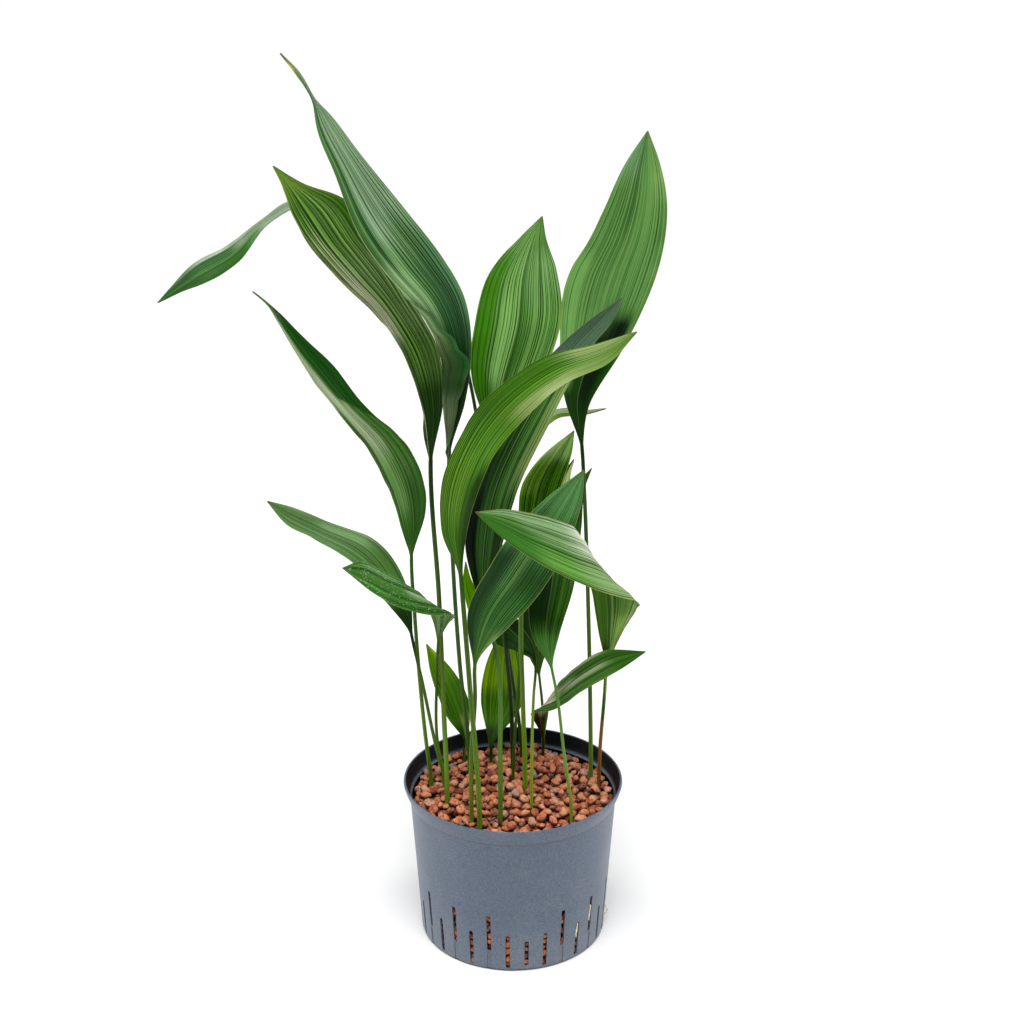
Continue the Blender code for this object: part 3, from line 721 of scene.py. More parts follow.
@dataclass(frozen=True)
class Patch:
    """A soft-edged area of the blade with its own tone, mostly painted shade and highlight and a few real
    brown marks.

    Places along the blade are shares of its length, and across it run from -1 to 1. Slant moves the along
    limits for each unit across.
    """

    start: float
    end: float
    left: float
    right: float
    colour: str
    strength: float = 0.7
    soft: float = 0.06
    slant: float = 0.0
    edge: float = 0.18

    def cover(self, along: np.ndarray, across: np.ndarray) -> np.ndarray:
        """Work out the patch's strength.

        Args:
            along: share of the blade's length of every point.
            across: across value of every point.

        Returns:
            The strength at every point.
        """
        place = along - self.slant * across
        rise = ease(self.start - self.soft, self.start + self.soft, place)
        fall = 1.0 - ease(self.end - self.soft, self.end + self.soft, place)
        near = ease(self.left - self.edge, self.left + self.edge, across)
        far = 1.0 - ease(self.right - self.edge, self.right + self.edge, across)
        return self.strength * rise * fall * near * far


@dataclass(frozen=True)
class Leaf:
    """One leaf. Rows are millimetres; a rib is (midrib point, half span towards the leaf's right margin)."""

    name: str
    age: Age
    foot: tuple[float, float]
    stalk: tuple[Vec, ...]
    ribs: tuple[tuple[Vec, Vec], ...]
    tip: Vec
    radius: float = 2.5
    cup: float = 0.22
    wave: float = 2.0
    skin: Cuticle = Cuticle()
    flaps: tuple[Flap, ...] = ()
    patches: tuple[Patch, ...] = ()
    ripple: float = 0.7
    pleats: float = 0.35
    pleat_count: float = 11.0
    crease: float = 0.0


LEAVES = (
    Leaf(
        "leaf_01", Age.DEEP, (-50, 36), ((-60, 20, 323), (-67, 10, 478)),
        (
            ((-68, 0, 586), (2, 0, 1)), ((-62, -6, 639), (11, 0, 1)), ((-59, -16, 703), (16, -2, 4)),
            ((-73, -34, 757), (22, 4, 7)), ((-99, -47, 798), (27, 5, 9)), ((-133, -54, 848), (22, 4, 13)),
            ((-164, -55, 904), (12, 3, 10)), ((-185, -52, 943), (7, 2, 6)), ((-194, -52, 964), (2, 0, 1)),
            ((-210, -51, 991), (2, 1, 1)),
        ),
        (-225, -52, 1009), crease=0.12, flaps=(Flap(-1, -0.02, 0.22, 0.44, 33.0, 166.0),),
        patches=(
            Patch(-0.2, 0.2, -1.2, 1.2, "0a3408", 0.8),
            Patch(-0.02, 0.13, -1.2, -0.08, "8a9c74", 0.55, 0.05, 0.0, 0.3),
            Patch(0.16, 0.3, -1.2, -0.08, "1c3c08", 0.7, 0.05), Patch(0.2, 0.4, -0.4, 0.15, "225a24", 0.7),
            Patch(0.22, 0.5, -0.1, 1.2, "265c38", 0.6), Patch(0.32, 0.52, -1.2, -0.38, "84a870", 0.85),
            Patch(0.3, 0.6, 0.65, 1.2, "5c8c5c", 0.7), Patch(0.53, 0.95, -0.55, 0.15, "8caa84", 0.75),
            Patch(0.58, 1.0, 0.1, 1.2, "8ca882", 0.7), Patch(0.56, 0.75, -1.2, -0.75, "3c6a20", 0.5),
            Patch(0.6, 0.78, -0.05, 0.05, "1c4424", 0.6, 0.06, 0.0, 0.03),
            Patch(0.93, 1.1, -1.2, 1.2, "7c8c4c", 0.6), Patch(0.955, 0.975, -1.2, -0.2, "c4bc3c", 0.9, 0.012),
        ),
        skin=Cuticle(
            "1d4a1c", "628e50", "748650", streaks=0.5, veins=1.35, roughness=0.34, stalk_foot="3c5c10",
            stalk_top="3c5c30"
        ),
    ),
    Leaf(
        "leaf_02", Age.MID, (-74, -31), ((-78, 2, 274), (-82, 18, 402)),
        (
            ((-89, 20, 569), (2, 0, 1)), ((-86, 22, 628), (11, 0, 5)), ((-100, 24, 693), (18, 0, 4)),
            ((-112, 24, 716), (19, 0, 5)), ((-128, 25, 741), (20, -1, 6)), ((-151, 26, 772), (26, -2, 9)),
            ((-176, 28, 804), (29, -2, 8)), ((-202, 34, 841), (27, -2, 9)), ((-230, 44, 864), (11, 0, 0)),
        ),
        (-249, 48, 881), radius=2.8, pleats=1.1, pleat_count=9.0,
        flaps=(Flap(-1, 0.42, 0.6, 0.78, 8.0, 150.0), Flap(-1, 0.01, 0.1, 0.14, 4.5, -30.0)),
        patches=(
            Patch(-0.2, 0.25, -1.2, 1.2, "0c3600", 0.8), Patch(0.25, 0.45, 0.1, 1.2, "5c7c3c", 0.5),
            Patch(0.0, 0.15, -1.2, -0.93, "e4f0c4", 1.0, 0.03, 0.0, 0.02),
            Patch(0.4, 0.68, -1.2, 1.2, "8ca070", 0.4), Patch(0.36, 0.62, -1.2, -0.55, "bcc09c", 0.75),
            Patch(0.6, 0.76, -1.2, -0.5, "a0b47c", 0.6), Patch(0.62, 1.0, 0.45, 1.3, "2e5604", 0.8),
            Patch(0.8, 0.92, -1.3, -0.5, "326000", 0.7), Patch(0.8, 0.9, 0.3, 1.3, "3f7000", 0.6),
            Patch(0.88, 1.1, -1.3, 1.3, "6c9030", 0.8),
        ),
        skin=Cuticle("20430a", "658f3b", "6c8048", streaks=0.6, veins=1.4, margin_highlight_share=0.5),
    ),
    Leaf(
        "leaf_03", Age.MID, (-95, 17), ((-97, 10, 208), (-109, 2, 393)),
        (
            ((-111, -2, 464), (4, 0, 2)), ((-108, -6, 506), (13, -2, 8)), ((-114, -15, 554), (19, -3, 6)),
            ((-138, -27, 607), (17, -3, 9)), ((-168, -35, 643), (14, 1, 3)), ((-197, -43, 685), (10, 5, 7)),
            ((-217, -50, 715), (7, 4, 4)), ((-238, -59, 749), (2, 2, 2)), ((-247, -64, 763), (1, 0, 1)),
        ),
        (-261, -68, 777), crease=0.2,
        patches=(
            Patch(-0.2, 0.3, -0.3, 1.3, "224c04", 0.6), Patch(0.14, 0.4, -0.85, -0.2, "729c54", 0.75),
            Patch(0.36, 0.6, -0.75, -0.05, "98ac80", 0.8), Patch(0.26, 0.58, 0.0, 0.5, "5c8440", 0.55),
            Patch(0.56, 0.97, -0.42, 1.3, "0a4800", 0.97, 0.01, -0.07, 0.06),
            Patch(0.42, 0.72, -0.75, -0.4, "9cac84", 0.7),
            Patch(0.25, 0.56, -1.3, -0.8, "3c5424", 0.8, 0.06, 0.0, 0.08),
            Patch(0.284, 0.302, 0.22, 0.36, "5c3c1c", 0.8, 0.008, 0.0, 0.05),
            Patch(0.56, 1.0, -1.3, -0.6, "a4b490", 0.85), Patch(0.91, 1.1, -1.3, 0.6, "76885e", 0.75),
        ),
        skin=Cuticle(
            "1a4a06", "3f7420", "6c8a46", streaks=0.4, veins=1.5, tip="6b4a34", tip_share=0.85,
            base_green_shade_share=0.2, stalk_top="345c28"
        ),
    ),
    Leaf(
        "leaf_04", Age.MID, (-79, 6), ((-88, 0, 231), (-102, -4, 314)),
        (
            ((-113, -2, 371), (3, 0, 1)), ((-116, 2, 389), (4, 2, 8)), ((-128, 12, 410), (10, 6, 9)),
            ((-166, 32, 455), (12, 8, 11)), ((-214, 45, 475), (8, 7, 7)), ((-250, 53, 490), (4, 5, 8)),
        ),
        (-274, 58, 505), radius=2.2,
        patches=(
            Patch(-0.1, 0.2, -1.2, 1.2, "0c3000", 0.85), Patch(0.2, 0.42, -1.2, 1.2, "3c6c1c", 0.5),
            Patch(0.46, 0.74, 0.2, 1.2, "84a870", 0.7), Patch(0.55, 0.75, -1.2, 0.2, "64885a", 0.5),
            Patch(0.75, 1.1, 0.75, 1.3, "94b07c", 0.7),
        ),
        skin=Cuticle("38602a", "5a8044", "7c9a5c", streaks=0.35, veins=1.4),
    ),
    Leaf(
        "leaf_05", Age.DEEP, (-81, 24), ((-86, 22, 216), (-86, 10, 308)),
        (
            ((-83, -2, 363), (-3, 0, 0)), ((-81, -7, 388), (-9, 1, 4)), ((-84, -18, 412), (-20, 4, 11)),
            ((-107, -32, 427), (-17, 2, 20)), ((-128, -41, 439), (-11, 3, 21)),
            ((-157, -54, 461), (-6, 2, 17)),
        ),
        (-181, -64, 475), radius=2.0, cup=0.1, wave=1.0,
        patches=(
            Patch(0.3, 0.5, -0.1, 0.5, "8aa67c", 0.75), Patch(0.5, 0.82, 0.4, 0.95, "6c9460", 0.6),
            Patch(0.05, 0.3, -1.2, 0.5, "6c8c50", 0.6), Patch(0.42, 0.7, -0.7, 0.2, "27580c", 0.4),
            Patch(0.7, 1.1, -1.2, -0.3, "488830", 0.6),
        ),
        skin=Cuticle("1d4c0f", "427624", "6a8c4c", streaks=0.4, base_green_shade_share=0.2, specks=0.55),
    ),
    Leaf(
        "leaf_06", Age.MID, (10, 73),
        ((-6, 76, 315), (-26, 88, 471), (-48, 96, 634), (-88, 102, 780), (-143, 106, 828)),
        (
            ((-197, 107, 832), (0, 0, 3)), ((-242, 105, 827), (-3, 1, 4)), ((-267, 101, 811), (-3, 1, 3)),
            ((-302, 95, 778), (-7, 3, 8)), ((-341, 86, 756), (-7, 4, 9)), ((-365, 78, 741), (-5, 2, 3)),
        ),
        (-384, 74, 728), radius=2.2,
        patches=(
            Patch(-0.3, 0.4, -1.2, 1.2, "8ca284", 0.9, 0.06), Patch(0.3, 0.55, 0.0, 1.2, "98b08c", 0.8),
            Patch(0.45, 1.1, -1.2, -0.1, "265410", 0.75), Patch(0.55, 0.88, 0.65, 1.2, "a4b89c", 0.9),
            Patch(0.76, 1.1, -1.2, 1.2, "1e4c10", 0.65),
        ),
        skin=Cuticle(
            "2a5a24", "608e54", "7c9a6c", streaks=0.3, veins=0.8, roughness=0.34, base_green_shade_share=0.0,
            stalk_foot="2c4010", stalk_top="183410"
        ),
    ),
    Leaf(
        "leaf_07", Age.FRESH, (0, 48), ((-3, 40, 273), (-10, 42, 354), (-21, 50, 533)),
        (
            ((-25, 52, 588), (3, 0, 1)), ((-13, 60, 635), (31, 0, -6)), ((5, 72, 704), (47, 0, 3)),
            ((11, 96, 757), (36, 0, 2)), ((22, 122, 789), (14, 0, 0)),
        ),
        (32, 142, 808), radius=2.8, wave=1.5, pleats=0.9, pleat_count=9.0,
        patches=(
            Patch(-0.1, 0.25, -1.2, -0.2, "1e5400", 0.7), Patch(0.05, 0.8, -1.3, -0.5, "367400", 0.85),
            Patch(0.2, 0.62, -0.42, -0.1, "82b262", 0.55), Patch(0.2, 0.5, 0.1, 1.2, "446828", 0.4),
            Patch(0.28, 0.5, 0.05, 0.35, "284c18", 0.3), Patch(0.55, 0.85, 0.0, 1.2, "688e54", 0.5),
            Patch(0.8, 1.1, 0.4, 1.2, "3c6418", 0.6),
        ),
        skin=Cuticle(
            "2c6414", "72a052", "7c9c54", streaks=0.6, veins=1.6, stalk_foot="1c300a", stalk_top="2c4824"
        ),
    ),
    Leaf(
        "leaf_08", Age.FRESH, (-37, -82), ((-46, -90, 344), (-53, -86, 448)),
        (
            ((-55, -86, 478), (3, 0, 1)), ((-61, -90, 526), (13, -2, -1)), ((-57, -96, 566), (17, -4, -6)),
            ((-36, -101, 625), (17, -7, -9)), ((-2, -107, 672), (19, -9, -8)),
            ((45, -112, 709), (13, -10, -9)), ((90, -114, 727), (8, -6, -7)),
        ),
        (122, -114, 748), radius=3.0,
        patches=(
            Patch(-0.1, 0.34, 0.1, 1.2, "284c00", 0.75), Patch(0.0, 0.38, 0.6, 1.2, "183800", 0.8),
            Patch(0.15, 0.42, -1.1, 0.3, "5e8c20", 0.6), Patch(0.48, 0.64, -0.2, 1.2, "446c10", 0.6),
            Patch(0.5, 0.76, -1.2, -0.1, "386809", 0.7), Patch(0.56, 0.82, 0.3, 1.2, "7c9450", 0.85, 0.05),
            Patch(0.64, 0.84, 0.6, 1.2, "9cac70", 0.75), Patch(0.8, 1.1, -1.2, 1.2, "628434", 0.75),
            Patch(0.76, 0.9, 0.2, 1.2, "78944c", 0.6), Patch(0.8, 1.1, -1.3, -0.1, "90a864", 0.7),
        ),
        skin=Cuticle("2b5b06", "4e8219", "6f9448", streaks=0.5, veins=1.4, base_green_shade_share=0.25),
    ),
    Leaf(
        "leaf_09", Age.DEEP, (-14, -67), ((-14, -72, 253), (-20, -56, 382)),
        (
            ((-27, -50, 407), (3, 0, 1)), ((-31, -40, 492), (20, -2, 1)), ((-21, -36, 547), (24, -4, 1)),
            ((14, -39, 631), (25, -5, 1)), ((59, -32, 703), (19, -6, 3)), ((92, -33, 739), (10, -3, -1)),
        ),
        (111, -36, 762), radius=2.8,
        patches=(
            Patch(-0.1, 0.38, -1.2, -0.42, "000600", 0.95), Patch(0.3, 0.52, -0.9, -0.25, "062006", 0.6),
            Patch(0.05, 0.3, 0.4, 0.85, "0b2700", 0.8), Patch(0.32, 0.7, 0.1, 1.2, "49782d", 0.6),
            Patch(0.4, 0.75, 0.65, 1.2, "82985a", 0.75), Patch(0.72, 1.1, -1.2, 1.2, "4b664d", 0.9),
        ),
        skin=Cuticle(
            "0b2904", "396924", "5f7c4a", streaks=0.5, veins=1.15, roughness=0.34, stalk_foot="56781e",
            stalk_top="2c5c20"
        ),
    ),
    Leaf(
        "leaf_10", Age.FRESH, (90, 24), ((88, 20, 277), (84, 26, 399), (79, 34, 515)),
        (
            ((75, 40, 579), (3, 0, 1)), ((70, 48, 622), (13, 0, -2)), ((85, 62, 679), (34, -2, 1)),
            ((110, 89, 761), (47, -3, 1)), ((123, 99, 791), (41, -2, 1)), ((131.7, 108, 821), (34.7, -2, 2)),
            ((140, 123, 871), (18, -1, 0)),
        ),
        (145, 132, 903), radius=2.6, wave=1.5,
        patches=(
            Patch(-0.1, 0.2, -1.2, 1.2, "083000", 0.9), Patch(0.2, 0.62, -1.2, -0.5, "6a9a4e", 0.7),
            Patch(0.15, 0.32, -0.45, 0.1, "143808", 0.85), Patch(0.12, 0.42, 0.0, 0.9, "001000", 0.95),
            Patch(0.15, 0.3, 0.7, 1.2, "0c4000", 0.8), Patch(0.36, 0.5, -0.2, 0.4, "3c6c2c", 0.4),
            Patch(0.65, 0.9, 0.0, 1.2, "588640", 0.4), Patch(0.84, 1.1, -1.2, 0.1, "6c9468", 0.6),
            Patch(0.8, 1.1, 0.5, 1.2, "84a85c", 0.5),
        ),
        skin=Cuticle("28581c", "64904a", "749854", streaks=0.4, veins=0.68, stalk_foot="587420"),
    ),
    Leaf(
        "leaf_11", Age.LIME, (0, 13), ((7, 10, 326), (7, 14, 404), (1, 26, 471)),
        (
            ((-5, 36, 536), (2, 0, 0)), ((20, 55, 588), (6, -1, -7)), ((51, 71, 604), (-2, -1, -6)),
            ((80, 85, 600), (-1, -1, -3)),
        ),
        (104, 96, 601), radius=1.9,
        patches=(
            Patch(0.3, 1.1, -1.2, 0.15, "b8cc98", 0.8), Patch(0.5, 1.1, 0.2, 1.2, "5c8020", 0.8),
        ),
        skin=Cuticle(
            "6c8a38", "a8bc7a", "8ca258", streaks=0.35, roughness=0.45, stalk_foot="30460c",
            stalk_top="4c7818"
        ),
    ),
    Leaf(
        "leaf_12", Age.LIME, (14, -1), ((11, -4, 294), (9, -1, 387)),
        (
            ((11, 2, 444), (3, 0, 0)), ((22, 8, 496), (16, 0, -6)), ((33, 19, 543), (21, -1, -1)),
            ((50, 23, 575), (14, -1, 0)),
        ),
        (66, 28, 598), radius=2.9, pleats=0.9, pleat_count=9.0,
        patches=(
            Patch(0.5, 0.82, -1.2, -0.1, "648c20", 0.8), Patch(0.76, 1.1, -1.2, 1.2, "7ca454", 0.85),
            Patch(0.82, 1.1, -1.2, -0.2, "acc478", 0.7),
        ),
        skin=Cuticle(
            "1c4200", "427600", "749434", streaks=0.6, veins=1.5, margin_highlight_share=0.6, stalk_foot="749618",
            stalk_top="406420"
        ),
    ),
    Leaf(
        "leaf_13", Age.DEEP, (-46, -71), ((-46, -74, 254), (-41, -74, 330)),
        (
            ((-41, -74, 366), (3, 0, 1)), ((-27, -77, 421), (21, -1, -9)), ((4, -78, 472), (26, -2, -16)),
            ((31, -75, 516), (25, -3, -12)), ((57, -66, 557), (15, -2, -4)),
        ),
        (74, -54, 582), radius=2.6,
        patches=(
            Patch(0.05, 0.62, -1.2, -0.45, "103010", 0.78), Patch(-0.1, 0.2, 0.6, 1.2, "7c9c54", 0.75),
            Patch(0.0, 0.2, -0.5, 0.6, "4c7830", 0.5), Patch(0.38, 0.56, 0.15, 1.2, "1c4408", 0.6),
            Patch(0.56, 0.8, -1.2, 0.7, "487840", 0.8), Patch(0.35, 0.6, -0.4, 0.1, "5c8448", 0.5),
            Patch(0.76, 1.1, -1.2, 1.2, "568a4c", 0.85),
        ),
        skin=Cuticle(
            "153e11", "3e712f", "7a9058", streaks=0.45, veins=1.35, margin_highlight_share=0.5, roughness=0.36,
            base_green_shade_share=0.1
        ),
    ),
    Leaf(
        "leaf_14", Age.MID, (99, 10), ((99, 3, 216), (103, -6, 303)),
        (
            ((104, -10, 333), (-3, 0, 1)), ((108, -18, 381), (-14, 0, -1)), ((108, -37, 428), (-25, 1, 15)),
            ((92, -81, 486), (-32, -11, 46)), ((61, -99, 506), (-21, -5, 41)),
            ((17, -116, 532), (-6, -2, 28)), ((-13, -129, 552), (0, -1, 15)),
        ),
        (-38, -136, 566), radius=2.3, cup=0.1, wave=1.0,
        patches=(
            Patch(-0.5, -0.21, -1.3, 1.3, "824c19", 0.85, 0.02), Patch(-0.1, 0.25, -1.2, 0.12, "86aa50", 0.8),
            Patch(-0.1, 0.34, 0.24, 1.2, "3a6406", 0.8), Patch(0.2, 0.4, -0.7, 0.6, "3b6511", 0.6),
            Patch(0.15, 0.38, -1.3, -0.8, "9bb07a", 0.8), Patch(0.42, 0.64, -1.2, 0.1, "74925a", 0.8),
            Patch(0.4, 0.62, 0.05, 1.2, "bcc6ac", 0.95), Patch(0.58, 0.84, 0.0, 0.8, "789e64", 0.75),
            Patch(0.58, 1.1, 0.6, 1.2, "82a471", 0.8), Patch(0.76, 1.1, -1.2, 0.3, "2e6915", 0.8),
        ),
        skin=Cuticle("2e6519", "61933b", "5a7c34", streaks=0.4, veins=1.6, margin_highlight_share=0.5, base_green_shade_share=0.0),
    ),
    Leaf(
        "leaf_15", Age.MID, (36, 83), (),
        (
            ((36, 76, 199), (-2, 0, 0)), ((32, 64, 233), (-9, 0, -1)), ((33, 48, 256), (-11, -2, -9)),
            ((46, 28, 275), (-5, -4, -14)), ((81, -8, 323), (2, -4, -15)), ((112, -29, 352), (8, -3, -10)),
        ),
        (144, -48, 370), radius=2.0, cup=0.12, wave=1.0,
        patches=(
            Patch(-0.2, 0.2, -0.7, 1.2, "322806", 0.9), Patch(0.2, 0.4, -0.8, 0.34, "d0ccac", 0.9),
            Patch(0.34, 0.56, -0.55, -0.05, "a8b08c", 0.8), Patch(0.5, 0.78, -0.2, 0.12, "a8b48c", 0.9),
            Patch(0.45, 0.8, -1.3, -0.8, "94a080", 0.8, 0.06, 0.0, 0.06),
            Patch(0.62, 0.82, 0.75, 1.3, "6c8c4c", 0.6), Patch(0.8, 1.1, -1.2, 1.2, "286000", 0.7),
        ),
        skin=Cuticle("204f0b", "4f852b", "748c50", streaks=0.8, veins=1.6, base_green_shade_share=0.0),
    ),
    Leaf(
        "leaf_16", Age.DEEP, (65, -63), ((56, -62, 255), (47, -56, 328)),
        (
            ((42, -51, 352), (2, 0, 1)), ((36, -36, 381), (14, 0, 1)), ((42, -6, 425), (24, 0, 0)),
            ((56, 38, 480), (20, 0, 1)), ((71, 62, 517), (9, 0, 1)),
        ),
        (88, 78, 537), radius=1.9,
        patches=(
            Patch(-0.1, 0.18, -1.2, 1.2, "4a8030", 0.85), Patch(0.2, 0.46, -1.2, 0.1, "082800", 0.85),
            Patch(0.2, 0.6, 0.4, 1.2, "3c6c18", 0.7),
        ),
        skin=Cuticle(
            "0c2b00", "2d6108", "4a6a32", streaks=0.5, veins=1.3, base_green_shade_share=0.0, stalk_foot="7c9c34",
            stalk_top="3c6c2c"
        ),
    ),
    Leaf(
        "leaf_17", Age.LIME, (21, -43), ((21, -40, 233), (23, -26, 307)),
        (
            ((25, -18, 338), (2, 0, 1)), ((11, 33, 342), (6, -3, 12)), ((-14, 65, 354), (8, -1, 24)),
            ((-42, 74, 374), (8, 0, 12)), ((-52, 76, 401), (5, 0, 1)),
        ),
        (-54, 80, 423), radius=1.9,
        patches=(
            Patch(-0.1, 0.58, -1.2, 1.2, "163e00", 0.85), Patch(0.0, 0.15, -1.2, -0.5, "6e8b3e", 0.8),
            Patch(0.36, 0.58, 0.1, 1.2, "071d00", 0.85), Patch(0.6, 1.1, -1.2, 1.2, "609c00", 0.95, 0.03),
        ),
        skin=Cuticle(
            "103200", "2e5e13", "24401c", streaks=0.35, veins=1.5, sheen=0.03, stalk_foot="889420",
            stalk_top="5c7c2c"
        ),
    ),
    Leaf(
        "leaf_18", Age.DEEP, (36, 98), ((35, 100, 230),),
        (
            ((31, 102, 269), (2, 0, 1)), ((27, 108, 305), (14, 0, 0)), ((31, 122, 373), (20, 0, 3)),
            ((48, 142, 458), (17, 0, 2)), ((63, 156, 505), (5, 0, 1)),
        ),
        (71, 160, 519), radius=1.9,
        patches=(
            Patch(-0.1, 0.15, 0.0, 1.2, "4b7b1f", 0.85), Patch(0.12, 0.45, -1.2, -0.3, "0d2800", 0.8),
            Patch(0.8, 1.1, 0.0, 1.2, "c6dc8d", 0.9),
        ),
        skin=Cuticle("123500", "356700", "5a7a32", streaks=0.4),
    ),
    Leaf(
        "leaf_19", Age.LIME, (-26, 68), (),
        (
            ((-26, 67, 190), (3, 0, 1)), ((-14, 96, 236), (24, 0, -3)), ((-11, 112, 283), (20, 0, 1)),
        ),
        (-7, 126, 330), radius=2.4,
        patches=(
            Patch(-0.1, 0.2, -1.2, 1.2, "133000", 0.7), Patch(0.42, 0.78, -1.2, 1.2, "7fab00", 0.85, 0.12),
            Patch(0.74, 1.1, -1.2, 1.2, "609200", 0.85, 0.08),
        ),
        skin=Cuticle("254d00", "4d8500", "5a7c14", streaks=0.5),
    ),
    Leaf(
        "leaf_20", Age.LIME, (-57, 80), (),
        (
            ((-56, 79, 190), (3, 0, 1)), ((-65, 88, 230), (14, 0, 6)), ((-81, 100, 268), (14, 0, 4)),
        ),
        (-102, 112, 305), radius=2.2,
        patches=(
            Patch(-0.1, 0.2, -1.2, 0.0, "122e00", 0.7), Patch(-0.1, 0.28, -0.1, 1.2, "88a050", 0.8),
            Patch(0.6, 1.1, -1.2, 1.2, "629200", 0.7, 0.14), Patch(0.84, 1.1, 0.2, 1.2, "94b400", 0.8),
        ),
        skin=Cuticle("244c00", "488000", "5a7c14", streaks=0.5),
    ),
)


def hermite(knots: np.ndarray, values: np.ndarray, at: np.ndarray) -> np.ndarray:
    """Read a Hermite spline through rows of values at uneven knots.

    Args:
        knots: rising places of the values.
        values: one row per knot.
        at: places to read.

    Returns:
        One row per place.
    """
    step = np.diff(knots)[:, None]
    rise = np.diff(values, axis=0) / step
    inner = (rise[:-1] * step[1:] + rise[1:] * step[:-1]) / (step[:-1] + step[1:])
    slope = np.vstack([rise[:1], inner, rise[-1:]])
    span = np.clip(np.searchsorted(knots, at) - 1, 0, len(knots) - 2)
    width = step[span]
    t = (at - knots[span])[:, None] / width
    start = values[span] * (2 * t**3 - 3 * t**2 + 1) + slope[span] * width * (t**3 - 2 * t**2 + t)
    return start + values[span + 1] * (3 * t**2 - 2 * t**3) + slope[span + 1] * width * (t**3 - t**2)


